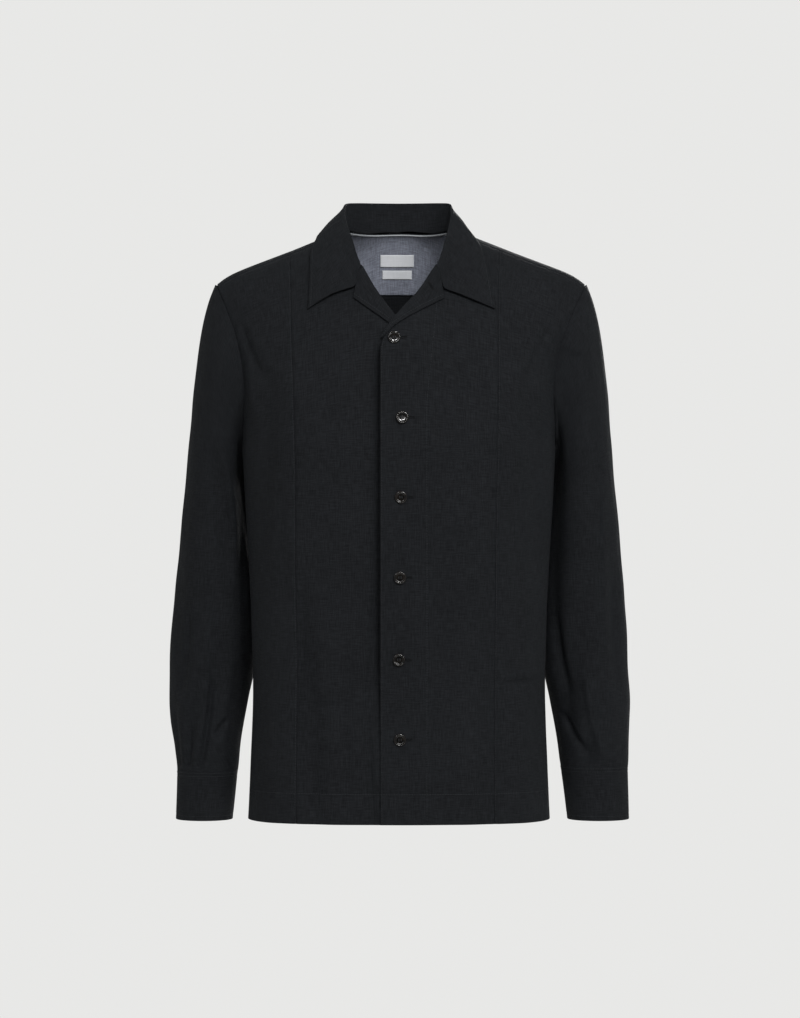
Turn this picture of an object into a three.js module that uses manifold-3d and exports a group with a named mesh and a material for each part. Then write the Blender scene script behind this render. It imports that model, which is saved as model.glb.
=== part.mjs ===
// Long-sleeved camp-collar shirt of black linen, buttoned and filled out with no wearer in it.
// Millimetres, +Z up, and the front faces -Y, so the wearer's left is at +X.
// The origin is the middle of the neck opening, between the tops of the two shoulders.
// Every cloth piece is a thin wall whose outer face is worked out from tables of sections.
import * as THREE from "three";
import { mergeVertices } from "three/addons/utils/BufferGeometryUtils.js";
import Module from "manifold-3d";

const wasm = await Module();
wasm.setup();

// Cloth walls and the gaps between pieces
const clothWall = 1.2;
const collarWall = 1.5;
const cuffWall = 1.7;
const yokeLiningWall = 1;
const labelWall = 1;
const seamGap = 0.4;
const layGap = 0.35;
const armholeStep = 0.8;

// Body: how far each front runs past the middle, and where the panel seam and facing lie
const overlap = 23;
const boxiness = 0.035;
const ridgeSoftness = 0.2;
const shoulderRound = 0.115;

// Neck and yoke
const yokeFrontS = -22;
const neckSideX = 74;
const neckBackS = 65.5;
const yokeBackS = 152.5;
const yokeSeamSag = 8;
const yokeCorner = 0.5;

// Buttons
const frontButton = { radius: 7.8, thick: 3 };
const cuffButton = { radius: 5.6, thick: 2.6 };
const cuffButtonStandOff = 0.6;

// Sections of the body, front hem (s below 0) over the shoulder (s = 0) to the back hem.
// s is the distance along the cloth from the shoulder, wrap the angle its edge turns through,
// leftExtra how much wider the wearer's left half is.
const bodySections = [
  { s: -760, midY: -124, midZ: -720, edgeX: 191, edgeY: -10, edgeZ: -720, leftExtra: 0, wrap: 90 },
  { s: -688, midY: -122, midZ: -648, edgeX: 188, edgeY: -10, edgeZ: -648, leftExtra: 0, wrap: 90 },
  { s: -599, midY: -121, midZ: -559, edgeX: 185, edgeY: -10, edgeZ: -559, leftExtra: 0, wrap: 90 },
  { s: -510, midY: -123, midZ: -470, edgeX: 187, edgeY: -10, edgeZ: -470, leftExtra: 0, wrap: 90 },
  { s: -408, midY: -129, midZ: -368, edgeX: 192, edgeY: -10, edgeZ: -368, leftExtra: 0, wrap: 90 },
  { s: -340, midY: -134, midZ: -300, edgeX: 196, edgeY: -10, edgeZ: -300, leftExtra: 0, wrap: 90 },
  { s: -290, midY: -135, midZ: -250, edgeX: 198, edgeY: -10, edgeZ: -252, leftExtra: 0, wrap: 90 },
  { s: -252, midY: -133, midZ: -205, edgeX: 197, edgeY: -28, edgeZ: -232, leftExtra: 0, wrap: 84 },
  { s: -195, midY: -124, midZ: -137, edgeX: 194, edgeY: -52, edgeZ: -180, leftExtra: 0, wrap: 74 },
  { s: -135, midY: -103, midZ: -64, edgeX: 202, edgeY: -53, edgeZ: -122, leftExtra: 2, wrap: 64 },
  { s: -70, midY: -66, midZ: 2, edgeX: 219, edgeY: -38, edgeZ: -72, leftExtra: 4, wrap: 56 },
  { s: -22, midY: -24, midZ: 38, edgeX: 229, edgeY: -18, edgeZ: -49, leftExtra: 5, wrap: 52 },
  { s: 0, midY: 0, midZ: 43, edgeX: 231, edgeY: -3, edgeZ: -44, leftExtra: 5, wrap: 50 },
  { s: 28, midY: 28, midZ: 39, edgeX: 229, edgeY: 18, edgeZ: -51, leftExtra: 5, wrap: 52 },
  { s: 75, midY: 68, midZ: 21, edgeX: 218, edgeY: 46, edgeZ: -84, leftExtra: 4, wrap: 58 },
  { s: 130, midY: 94, midZ: -30, edgeX: 206, edgeY: 58, edgeZ: -130, leftExtra: 2, wrap: 66 },
  { s: 190, midY: 109, midZ: -92, edgeX: 199, edgeY: 56, edgeZ: -180, leftExtra: 0, wrap: 74 },
  { s: 240, midY: 116, midZ: -152, edgeX: 198, edgeY: 38, edgeZ: -222, leftExtra: 0, wrap: 84 },
  { s: 290, midY: 119, midZ: -222, edgeX: 198, edgeY: -10, edgeZ: -252, leftExtra: 0, wrap: 90 },
  { s: 340, midY: 118, midZ: -286, edgeX: 196, edgeY: -10, edgeZ: -300, leftExtra: 0, wrap: 90 },
  { s: 408, midY: 113, midZ: -364, edgeX: 192, edgeY: -10, edgeZ: -368, leftExtra: 0, wrap: 90 },
  { s: 510, midY: 107, midZ: -470, edgeX: 187, edgeY: -10, edgeZ: -470, leftExtra: 0, wrap: 90 },
  { s: 599, midY: 106, midZ: -559, edgeX: 185, edgeY: -10, edgeZ: -559, leftExtra: 0, wrap: 90 },
  { s: 688, midY: 109, midZ: -648, edgeX: 188, edgeY: -10, edgeZ: -648, leftExtra: 0, wrap: 90 },
  { s: 760, midY: 112, midZ: -720, edgeX: 191, edgeY: -10, edgeZ: -720, leftExtra: 0, wrap: 90 },
];

// Soft folds of the body: a depth below 0 is a trough. face -1 is the front and 1 the back,
// x and lean give the line of the fold, top and bottom its ends, width half its breadth.
const bodyFolds = [
  { face: -1, x: -40, lean: 0.01, top: -130, bottom: -430, width: 13, depth: -3 },
  { face: -1, x: -112, lean: -0.05, top: -420, bottom: -740, width: 13, depth: -4 },
  { face: -1, x: -84, lean: -0.06, top: -440, bottom: -760, width: 17, depth: 3 },
  { face: -1, x: 116, lean: 0.02, top: -260, bottom: -760, width: 12, depth: -4 },
  { face: -1, x: 86, lean: 0.02, top: -300, bottom: -760, width: 18, depth: 3 },
  { face: -1, x: -166, lean: 0.05, top: -120, bottom: -420, width: 12, depth: -4 },
  { face: -1, x: 168, lean: -0.05, top: -120, bottom: -400, width: 12, depth: -4 },
  { face: -1, x: 156, lean: 0.03, top: -450, bottom: -760, width: 13, depth: 3 },
  { face: -1, x: -156, lean: 0.03, top: -480, bottom: -760, width: 13, depth: 3 },
  { face: 1, x: -118, lean: 0.06, top: -90, bottom: -760, width: 20, depth: -7 },
  { face: 1, x: 118, lean: -0.06, top: -90, bottom: -760, width: 20, depth: -7 },
  { face: 1, x: -72, lean: 0.03, top: -150, bottom: -760, width: 24, depth: 5 },
  { face: 1, x: 72, lean: -0.03, top: -150, bottom: -760, width: 24, depth: 5 },
  { face: 1, x: 4, lean: 0.02, top: -260, bottom: -760, width: 26, depth: -5 },
  { face: 1, x: -160, lean: 0.04, top: -260, bottom: -760, width: 15, depth: 4 },
  { face: 1, x: 160, lean: -0.04, top: -260, bottom: -760, width: 15, depth: 4 },
];

// Sleeve rings, level with the floor: outer and inner x of the wearer's right and left sleeve.
const sleeveRings = [
  { z: -300, outerRight: 273, innerRight: 193.5, outerLeft: 276, innerLeft: 193.5, midY: 34, deep: 64 },
  { z: -368, outerRight: 280.5, innerRight: 188.5, outerLeft: 283, innerLeft: 188.5, midY: 42, deep: 62 },
  { z: -470, outerRight: 291, innerRight: 182, outerLeft: 291.3, innerLeft: 182, midY: 48, deep: 60 },
  { z: -530, outerRight: 294.5, innerRight: 185, outerLeft: 294, innerLeft: 185, midY: 47, deep: 58 },
  { z: -572, outerRight: 293.8, innerRight: 193.5, outerLeft: 296, innerLeft: 193.5, midY: 43, deep: 55 },
  { z: -600, outerRight: 292, innerRight: 198.5, outerLeft: 294.8, innerLeft: 198.7, midY: 40, deep: 53 },
  { z: -635, outerRight: 286.5, innerRight: 203.3, outerLeft: 293.7, innerLeft: 203.7, midY: 35, deep: 49 },
  { z: -662, outerRight: 283.5, innerRight: 205.8, outerLeft: 292.8, innerLeft: 207.4, midY: 32, deep: 45 },
  { z: -725, outerRight: 285, innerRight: 212.5, outerLeft: 293.8, innerLeft: 215, midY: 28, deep: 42 },
];
const sleeveCapZ = -300;
const cuffSeamZ = -662;
const cuffHemZ = -724;

// Soft folds of the sleeves: turn is the place round the tube, 0 inside, 0.25 front, 0.5 outside.
const sleeveFolds = [
  { sleeve: -1, turn: 0.33, drift: -0.1, top: -560, bottom: -675, width: 0.035, depth: -7 },
  { sleeve: -1, turn: 0.43, drift: -0.03, top: -570, bottom: -675, width: 0.035, depth: -4 },
  { sleeve: -1, turn: 0.21, drift: 0.08, top: -250, bottom: -420, width: 0.05, depth: -6 },
  { sleeve: -1, turn: 0.2, drift: -0.03, top: -440, bottom: -640, width: 0.05, depth: -5 },
  { sleeve: -1, turn: 0.62, drift: 0.05, top: -520, bottom: -675, width: 0.04, depth: -6 },
  { sleeve: -1, turn: 0.8, drift: -0.05, top: -260, bottom: -480, width: 0.06, depth: -6 },
  { sleeve: 1, turn: 0.2, drift: 0.1, top: -430, bottom: -600, width: 0.05, depth: -6 },
  { sleeve: 1, turn: 0.24, drift: 0.12, top: -560, bottom: -672, width: 0.04, depth: -5 },
  { sleeve: 1, turn: 0.37, drift: 0.02, top: -320, bottom: -560, width: 0.035, depth: -4 },
  { sleeve: 1, turn: 0.62, drift: 0.05, top: -520, bottom: -675, width: 0.04, depth: -6 },
  { sleeve: 1, turn: 0.8, drift: -0.05, top: -260, bottom: -480, width: 0.06, depth: -6 },
];

// The seam between the middle and side panel of each front: x grows away from the middle.
const panelSeams = {
  right: [
    { s: -760, x: 126.5 },
    { s: -330, x: 127.5 },
    { s: -235, x: 129.5 },
    { s: -147, x: 133 },
    { s: -22, x: 138 },
  ],
  left: [
    { s: -760, x: 119.7 },
    { s: -450, x: 121.4 },
    { s: -235, x: 123.2 },
    { s: -100, x: 124.5 },
    { s: -22, x: 127.5 },
  ],
};

// Collar, from the middle of the back (u = 0) to the notch (u = 1): its neck seam in body places
// (x, s), its roll line in space, and the outer edge of the fall as x and height, on the back
// (face 1) or front (face -1) of the body. The fall is narrower over the wearer's left shoulder.
const collarStations = {
  right: [
    { u: 0, seamX: 0, seamS: 65.5, rollX: 0, rollY: 68, rollZ: 64, edgeX: 0, edgeZ: -22, face: 1 },
    { u: 0.16, seamX: 38, seamS: 52.6, rollX: 39, rollY: 63, rollZ: 64, edgeX: 46, edgeZ: -21, face: 1 },
    { u: 0.3, seamX: 61, seamS: 25.8, rollX: 61, rollY: 50, rollZ: 63, edgeX: 84, edgeZ: -14, face: 1 },
    { u: 0.4, seamX: 70, seamS: 5, rollX: 69, rollY: 33, rollZ: 60, edgeX: 97, edgeZ: -2, face: 1 },
    { u: 0.52, seamX: 74, seamS: -13, rollX: 70, rollY: 8, rollZ: 48, edgeX: 103, edgeZ: 9, face: -1 },
    { u: 0.64, seamX: 75, seamS: -30, rollX: 67, rollY: -14, rollZ: 34, edgeX: 110, edgeZ: -10, face: -1 },
    { u: 0.76, seamX: 71, seamS: -52, rollX: 62, rollY: -38, rollZ: 18, edgeX: 110.5, edgeZ: -37, face: -1 },
    { u: 0.88, seamX: 65, seamS: -72, rollX: 56, rollY: -62, rollZ: -1, edgeX: 110.5, edgeZ: -60, face: -1 },
    { u: 1, seamX: 58, seamS: -86, rollX: 48, rollY: -82, rollZ: -22, edgeX: 113, edgeZ: -79, face: -1 },
  ],
  left: [
    { u: 0, seamX: 0, seamS: 65.5, rollX: 0, rollY: 68, rollZ: 64, edgeX: 0, edgeZ: -22, face: 1 },
    { u: 0.16, seamX: 38, seamS: 52.6, rollX: 38, rollY: 63, rollZ: 64, edgeX: 44, edgeZ: -21, face: 1 },
    { u: 0.3, seamX: 61, seamS: 25.8, rollX: 59, rollY: 50, rollZ: 63, edgeX: 72, edgeZ: -11, face: 1 },
    { u: 0.4, seamX: 70, seamS: 5, rollX: 66, rollY: 33, rollZ: 60, edgeX: 79, edgeZ: 8, face: 1 },
    { u: 0.52, seamX: 74, seamS: -13, rollX: 67, rollY: 8, rollZ: 48, edgeX: 87, edgeZ: 19, face: -1 },
    { u: 0.64, seamX: 75, seamS: -30, rollX: 65, rollY: -14, rollZ: 34, edgeX: 101, edgeZ: 1, face: -1 },
    { u: 0.76, seamX: 71, seamS: -52, rollX: 61, rollY: -38, rollZ: 18, edgeX: 110, edgeZ: -27, face: -1 },
    { u: 0.88, seamX: 65, seamS: -72, rollX: 56, rollY: -62, rollZ: -1, edgeX: 115, edgeZ: -53, face: -1 },
    { u: 1, seamX: 58, seamS: -86, rollX: 48, rollY: -82, rollZ: -22, edgeX: 119, edgeZ: -78, face: -1 },
  ],
};
const fallLift = 3.4;
const fallBulge = 3.2;
const foldRadius = 1.6;

// The collar's front end, t from the roll line by way of the notch to the collar point
const collarEnds = {
  right: [
    { t: 0, x: 48.8, z: -21 },
    { t: 0.24, x: 55, z: -50.5 },
    { t: 0.55, x: 78, z: -59.5 },
    { t: 0.8, x: 98, z: -71 },
    { t: 1, x: 113, z: -81 },
  ],
  left: [
    { t: 0, x: 48.8, z: -21 },
    { t: 0.24, x: 55.4, z: -52.5 },
    { t: 0.55, x: 77, z: -62.5 },
    { t: 0.8, x: 101, z: -73 },
    { t: 1, x: 119, z: -80.5 },
  ],
};
const endReach = 0.62;

// Lapel roll lines and outer edges as x and height, from the notch (u = 0) down to the break
const lapelStations = {
  left: [
    { u: 0, rollX: 45.8, rollZ: -26, edgeX: 56, edgeZ: -67.5 },
    { u: 0.3, rollX: 24, rollZ: -58, edgeX: 36.5, edgeZ: -77.5 },
    { u: 0.55, rollX: 3, rollZ: -82.5, edgeX: 15.5, edgeZ: -89.5 },
    { u: 0.8, rollX: -13, rollZ: -102, edgeX: -5, edgeZ: -103 },
    { u: 1, rollX: -22.5, rollZ: -117.5, edgeX: -17.5, edgeZ: -115 },
  ],
  right: [
    { u: 0, rollX: 46, rollZ: -26.5, edgeX: 56.6, edgeZ: -66.5 },
    { u: 0.3, rollX: 30, rollZ: -53, edgeX: 41.5, edgeZ: -77 },
    { u: 0.6, rollX: 13.5, rollZ: -77, edgeX: 23, edgeZ: -90 },
    { u: 0.85, rollX: 1, rollZ: -93, edgeX: 7.5, edgeZ: -101.5 },
    { u: 1, rollX: -6, rollZ: -102, edgeX: -2.5, edgeZ: -106.5 },
  ],
};
const lapelUnder = 5.5;
const lapelLift = 3.1;

// The inner edge of each front above its lapel and below its break, as x and height. Between
// them it runs beside the lapel's tail.
const neckEdgeTop = [
  { x: 63, z: -6 },
  { x: 71, z: 12 },
  { x: 76, z: 24 },
];
const neckEdgeFoot = { left: -130, right: -134 };

const frontButtons = [
  { x: -5.8, z: -115.5, standOff: -0.4 },
  { x: 4, z: -215.5, standOff: 0.4 },
  { x: 2.5, z: -314, standOff: 0.1 },
  { x: 1.2, z: -413.5, standOff: 0.4 },
  { x: 0, z: -515.5, standOff: 0.4 },
  { x: 1.2, z: -614.5, standOff: 0.4 },
];

const labels = [
  { name: "label_main", x: -2.5, z: -7, wide: 44, tall: 15.5 },
  { name: "label_size", x: -2.5, z: -24.8, wide: 38.5, tall: 11 },
];

const materials = {
  linen: new THREE.MeshStandardMaterial({ color: 0x1b1e20, roughness: 0.85, metalness: 0 }),
  lining: new THREE.MeshStandardMaterial({ color: 0x6a7182, roughness: 0.9, metalness: 0 }),
  piping: new THREE.MeshStandardMaterial({ color: 0xa9b0b8, roughness: 0.8, metalness: 0 }),
  label: new THREE.MeshStandardMaterial({ color: 0xdfe2ea, roughness: 0.8, metalness: 0 }),
  button: new THREE.MeshStandardMaterial({ color: 0x1a1715, roughness: 0.3, metalness: 0 }),
};

const shirt = new THREE.Group();

const mix = (a, b, t) => a + (b - a) * t;
const clamp = THREE.MathUtils.clamp;
// A share that eases from 0 at one end to 1 at the other; the first end may be the larger.
function smooth(from, to, at) {
  const t = clamp((at - from) / (to - from), 0, 1);
  return t * t * (3 - 2 * t);
}
const steps = (count, low = 0, high = 1) =>
  Array.from({ length: count + 1 }, (_, i) => mix(low, high, i / count));

// One column of a table at a place along it, on a smooth curve through its rows.
function along(rows, key, column, at) {
  const last = rows.length - 1;
  const ordered = rows[last][key] > rows[0][key] ? 1 : -1;
  let i = 0;
  while (i < last - 1 && (rows[i + 1][key] - at) * ordered < 0) i += 1;
  const rate = (k) => (rows[k + 1][column] - rows[k][column]) / (rows[k + 1][key] - rows[k][key]);
  const slope = (k) => {
    if (k === 0 || k === last) return rate(k === 0 ? 0 : last - 1);
    const before = rate(k - 1);
    const after = rate(k);
    return before * after > 0 ? (2 * before * after) / (before + after) : 0;
  };
  const span = rows[i + 1][key] - rows[i][key];
  const t = clamp((at - rows[i][key]) / span, 0, 1);
  const t2 = t * t;
  const t3 = t2 * t;
  return (
    (2 * t3 - 3 * t2 + 1) * rows[i][column] +
    (t3 - 2 * t2 + t) * span * slope(i) +
    (3 * t2 - 2 * t3) * rows[i + 1][column] +
    (t3 - t2) * span * slope(i + 1)
  );
}

const sideways = (a) => Math.sin(a) + boxiness * Math.sin(3 * a);
const forwards = (a) => Math.cos(a) - boxiness * Math.cos(3 * a);

// How far a soft fold moves the body's cloth outwards.
function bodyFold(x, z, s) {
  let sum = 0;
  for (const f of bodyFolds) {
    if (f.face * s < 0) continue;
    const line = f.x + f.lean * (z - (f.top + f.bottom) / 2);
    const reach = (f.top - f.bottom) * 0.3;
    const ends = smooth(f.top + 10, f.top - reach, z) * smooth(f.bottom - reach, f.bottom + reach, z);
    sum += f.depth * ends * Math.exp(-(((x - line) / f.width) ** 2));
  }
  return sum;
}

const edgeReach = (side, s) =>
  along(bodySections, "s", "edgeX", s) + (side > 0 ? along(bodySections, "s", "leftExtra", s) : 0);

// A point of the body's bare form: f runs from -1 at one side edge to 1 at the other.
function bodyForm(f, s) {
  const at = (column) => along(bodySections, "s", column, s);
  const most = THREE.MathUtils.degToRad(at("wrap"));
  const part = sideways(Math.abs(f) * most) / sideways(most);
  const turn = (forwards(0) - forwards(f * most)) / (forwards(0) - forwards(most));
  const ridge = (Math.hypot(part, ridgeSoftness) - ridgeSoftness) / (Math.hypot(1, ridgeSoftness) - ridgeSoftness);
  const drop = ridge - shoulderRound * part ** 4 * (1 - part ** 12);
  return new THREE.Vector3(
    Math.sign(f) * part * edgeReach(f, s),
    mix(at("midY"), at("edgeY"), turn),
    mix(at("midZ"), at("edgeZ"), drop),
  );
}

// The share f of the body's half girth at which its form has a given x.
function bodyShare(x, s) {
  const most = THREE.MathUtils.degToRad(along(bodySections, "s", "wrap", s));
  const wanted = clamp(Math.abs(x) / edgeReach(x, s), 0, 1) * sideways(most);
  let a = wanted;
  for (let i = 0; i < 8; i += 1) {
    a -= (sideways(a) - wanted) / Math.max(0.05, Math.cos(a) + 3 * boxiness * Math.cos(3 * a));
    a = clamp(a, 0, most);
  }
  return (Math.sign(x) * a) / most;
}

// The body's outward direction, from the form's own slopes.
function bodyNormal(f, s) {
  const across = bodyForm(Math.min(1, f + 0.004), s).sub(bodyForm(Math.max(-1, f - 0.004), s));
  const up = bodyForm(f, s + 2).sub(bodyForm(f, s - 2));
  return across.cross(up).normalize();
}

// The body's cloth at a share f and distance s, moved outwards by lift.
function bodyAt(f, s, lift = 0) {
  const p = bodyForm(f, s);
  return p.clone().addScaledVector(bodyNormal(f, s), lift + bodyFold(p.x, p.z, s));
}

const bodyAtX = (x, s, lift = 0) => bodyAt(bodyShare(x, s), s, lift);

// The distance s at which the form has a height z at a given x, on the front (-1) or back (1).
function sOfHeight(x, z, face) {
  let near = 0;
  let far = face * 760;
  for (let i = 0; i < 32; i += 1) {
    const s = (near + far) / 2;
    if (bodyForm(bodyShare(x, s), s).z > z) near = s;
    else far = s;
  }
  return (near + far) / 2;
}

// The inner edge of a front, from its hem to the yoke seam, as x for each distance s.
function neckEdge(hand, side) {
  const placed = (x, z) => ({ x, s: sOfHeight(side * x, z, -1) });
  const beside = lapelStations[hand].map(({ u, rollX, rollZ }) => ({
    x: rollX + lapelTail(u) + 0.7,
    s: sOfHeight(side * rollX, rollZ, -1),
  }));
  return [
    { x: -overlap, s: -760 },
    placed(-overlap, neckEdgeFoot[hand]),
    ...beside.reverse(),
    ...neckEdgeTop.map((row) => placed(row.x, row.z)),
  ];
}

// Tables given by height, with the distance s worked out for each row.
const sided = (tables, place) => ({
  right: tables.right.map((row) => place(row, -1)),
  left: tables.left.map((row) => place(row, 1)),
});
const lapelLines = sided(lapelStations, (row, side) => ({
  ...row,
  rollS: sOfHeight(side * row.rollX, row.rollZ, -1),
  edgeS: sOfHeight(side * row.edgeX, row.edgeZ, -1),
}));
const lapelTail = (u) => lapelUnder * (1 - 0.45 * u);
const neckLine = { right: neckEdge("right", -1), left: neckEdge("left", 1) };
const collarLines = sided(collarStations, (row, side) => ({
  ...row,
  edgeS: sOfHeight(side * row.edgeX, row.edgeZ, row.face),
}));
const collarEndLines = sided(collarEnds, (row, side) => ({ ...row, s: sOfHeight(side * row.x, row.z, -1) }));
const handOf = (side) => (side > 0 ? "left" : "right");

// How far the overlapping left front stands off the body's form, and the right one lies in it.
function leftRise(x, z) {
  const lap = smooth(62, 26, x);
  return lap + 3.8 * Math.exp(-(((x + 3) / 34) ** 2) - ((z + 95) / 42) ** 2) * smooth(70, 40, x);
}
const rightRise = (x) => -1.4 * smooth(-62, -26, x);
const frontRise = (side, x, z) => (side > 0 ? leftRise(x, z) : rightRise(x));

// A place on one front: x grows away from the middle towards that front's own side.
function frontAt(side, x, s, lift = 0) {
  const f = bodyShare(side * x, s);
  const p = bodyForm(f, s);
  return bodyAt(f, s, lift + frontRise(side, p.x, p.z));
}

// Directions square to a grid of points, on the side that outward() says.
function gridNormals(points, outward) {
  const rows = points.length;
  const columns = points[0].length;
  const normals = points.map((row, i) =>
    row.map((_, j) => {
      const along1 = points[Math.min(rows - 1, i + 1)][j].clone().sub(points[Math.max(0, i - 1)][j]);
      const along2 = row[Math.min(columns - 1, j + 1)].clone().sub(row[Math.max(0, j - 1)]);
      return along1.cross(along2).normalize();
    }),
  );
  const i = rows >> 1;
  const j = columns >> 1;
  if (normals[i][j].dot(outward(points[i][j])) < 0) normals.forEach((row) => row.forEach((n) => n.negate()));
  return normals;
}

// A closed wall between an outer and an inner grid of points.
function wallBetween(outer, inner) {
  const rows = outer.length;
  const columns = outer[0].length;
  const index = (layer, i, j) => layer * rows * columns + i * columns + j;
  const triangles = [];
  const face = (a, b, c, d) => triangles.push(a, b, c, a, c, d);
  for (let i = 0; i < rows - 1; i += 1) {
    for (let j = 0; j < columns - 1; j += 1) {
      face(index(0, i, j), index(0, i, j + 1), index(0, i + 1, j + 1), index(0, i + 1, j));
      face(index(1, i, j), index(1, i + 1, j), index(1, i + 1, j + 1), index(1, i, j + 1));
    }
    face(index(0, i, 0), index(0, i + 1, 0), index(1, i + 1, 0), index(1, i, 0));
    const j = columns - 1;
    face(index(0, i, j), index(1, i, j), index(1, i + 1, j), index(0, i + 1, j));
  }
  for (let j = 0; j < columns - 1; j += 1) {
    face(index(0, 0, j), index(1, 0, j), index(1, 0, j + 1), index(0, 0, j + 1));
    const i = rows - 1;
    face(index(0, i, j), index(0, i, j + 1), index(1, i, j + 1), index(1, i, j));
  }
  const flat = [...outer.flat(), ...inner.flat()].flatMap((p) => [p.x, p.y, p.z]);
  const geometry = new THREE.BufferGeometry()
    .setAttribute("position", new THREE.Float32BufferAttribute(flat, 3))
    .setIndex(triangles);
  return facingOut(mergeVertices(geometry, 1e-4));
}

// The geometry with its faces turned round if they point inwards.
function facingOut(geometry) {
  const p = geometry.getAttribute("position");
  const index = geometry.index.array;
  const corner = (k) => new THREE.Vector3().fromBufferAttribute(p, index[k]);
  let volume = 0;
  for (let k = 0; k < index.length; k += 3) volume += corner(k).dot(corner(k + 1).cross(corner(k + 2)));
  if (volume < 0) {
    for (let k = 0; k < index.length; k += 3) [index[k + 1], index[k + 2]] = [index[k + 2], index[k + 1]];
  }
  return geometry;
}

const shifted = (points, normals, by) =>
  points.map((row, i) => row.map((p, j) => p.clone().addScaledVector(normals[i][j], by)));

function add(name, geometry, material) {
  const mesh = new THREE.Mesh(geometry, material);
  mesh.name = name;
  shirt.add(mesh);
}

// The share of the half girth left open on each side of a side seam
const sideSeamShare = 0.0012;

// Levels shared by the panels of the fronts, close together over the chest and shoulder
const frontLevels = [
  -760, -722, -682, -640, -598, -554, -510, -460, -408, -365, -325, -290, -262, -235, -208, -184, -166,
  -147, -131, -113, -95, -72, -52, -36, -22,
];

// One front between its inner edge and the panel seam.
function frontCentre(side, name) {
  const edges = neckLine[handOf(side)];
  const seam = panelSeams[handOf(side)];
  const grid = (lift) =>
    frontLevels.map((s) => {
      const sTop = Math.min(s, yokeFrontS - 2 * seamGap);
      const inner = along(edges, "s", "x", s);
      const outer = along(seam, "s", "x", sTop) - seamGap / 2;
      return steps(7, inner, outer).map((x) => frontAt(side, x, sTop, lift));
    });
  add(name, wallBetween(grid(0), grid(-clothWall)), materials.linen);
}

// One front between the panel seam and the side seam and armhole.
function frontSide(side, name) {
  const seam = panelSeams[handOf(side)];
  const grid = (lift) =>
    frontLevels.map((s) => {
      const sTop = Math.min(s, yokeFrontS - 2 * seamGap);
      const from = Math.abs(bodyShare(side * (along(seam, "s", "x", sTop) + seamGap / 2), sTop));
      return steps(6, from, 1 - sideSeamShare).map((f) => bodyAt(side * f, sTop, lift));
    });
  add(name, wallBetween(grid(0), grid(-clothWall)), materials.linen);
}

// The yoke's back seam is nearly level: the distance s that brings each share f to its height.
const yokeSeamMiddle = bodyForm(0, yokeBackS).z;
function yokeSeamS(f) {
  let near = 20;
  let far = 300;
  for (let i = 0; i < 30; i += 1) {
    const s = (near + far) / 2;
    if (bodyForm(f, s).z > yokeSeamMiddle - yokeSeamSag * f * f) near = s;
    else far = s;
  }
  return (near + far) / 2;
}

const backShares = steps(24, -1 + sideSeamShare, 1 - sideSeamShare);
function back() {
  const grid = (lift) =>
    steps(14).map((r) =>
      backShares.map((f) => bodyAt(f, mix(yokeSeamS(f) + seamGap, 760, r ** 1.15), lift)),
    );
  add("back", wallBetween(grid(0), grid(-clothWall)), materials.linen);
}

// Body places of the neckline and of the yoke's outer edge, k from -1 to 1 round the neck.
function neckPlace(k) {
  const q = Math.cos((Math.abs(k) * Math.PI) / 2);
  return { x: Math.sign(k) * neckSideX * Math.sqrt(1 - q ** 2.5), s: mix(yokeFrontS, neckBackS, q ** 1.35) };
}
function yokeEdgePlace(k) {
  const size = Math.abs(k);
  const f = Math.min(1, size / yokeCorner);
  const past = Math.max(0, size - yokeCorner) / (1 - yokeCorner);
  const share = Math.sign(k) * f;
  const s = past > 0 ? mix(yokeSeamS(share), yokeFrontS, past) : yokeSeamS(share);
  const edge = bodyForm(share, s);
  return { x: edge.x, s };
}

function yokePoint(k, v, lift) {
  const inner = neckPlace(k);
  const outer = yokeEdgePlace(k);
  const s = mix(inner.s, outer.s, v);
  return bodyAtX(mix(inner.x, outer.x, v), s, lift);
}

// The lining uses the yoke's own lines, less the outermost ones, so that it lies on its points.
const yokeTurns = [
  ...steps(5, -1, -yokeCorner - 1 / 12),
  ...steps(24, -yokeCorner, yokeCorner),
  ...steps(5, yokeCorner + 1 / 12, 1),
];
const yokeShares = [0, 0.035, 0.2, 0.4, 0.6, 0.8, 0.94, 0.984, 1];
function yoke() {
  const grid = (lift) => yokeTurns.map((k) => yokeShares.map((v) => yokePoint(k, v, lift)));
  add("yoke", wallBetween(grid(0), grid(-clothWall)), materials.linen);
}

function yokeLining() {
  const turns = yokeTurns.slice(2, -2);
  const shares = yokeShares.slice(1, -1);
  const top = -clothWall - layGap;
  const grid = (lift) => turns.map((k) => shares.map((v) => yokePoint(k, v, lift)));
  add("yoke_lining", wallBetween(grid(top), grid(top - yokeLiningWall)), materials.lining);
}

const ringColumns = (side) => (side > 0 ? ["outerLeft", "innerLeft"] : ["outerRight", "innerRight"]);

// A point of a sleeve's level ring.
function ringPoint(side, turn, z) {
  const [outerKey, innerKey] = ringColumns(side);
  const outer = along(sleeveRings, "z", outerKey, z);
  const inner = along(sleeveRings, "z", innerKey, z);
  const a = turn * 2 * Math.PI;
  return new THREE.Vector3(
    side * ((outer + inner) / 2 - ((outer - inner) / 2) * Math.cos(a)),
    along(sleeveRings, "z", "midY", z) - along(sleeveRings, "z", "deep", z) * Math.sin(a),
    z,
  );
}

function sleeveFold(side, turn, z) {
  let sum = 0;
  for (const f of sleeveFolds) {
    if (f.sleeve !== side) continue;
    const height = (z - f.bottom) / (f.top - f.bottom);
    const ends = smooth(-0.3, 0.25, height) * smooth(1.15, 0.6, height);
    const off = turn - f.turn - f.drift * (height - 0.5);
    const across = (off - Math.round(off)) / f.width;
    sum += f.depth * ends * Math.exp(-(across ** 2));
  }
  return sum;
}

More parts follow.
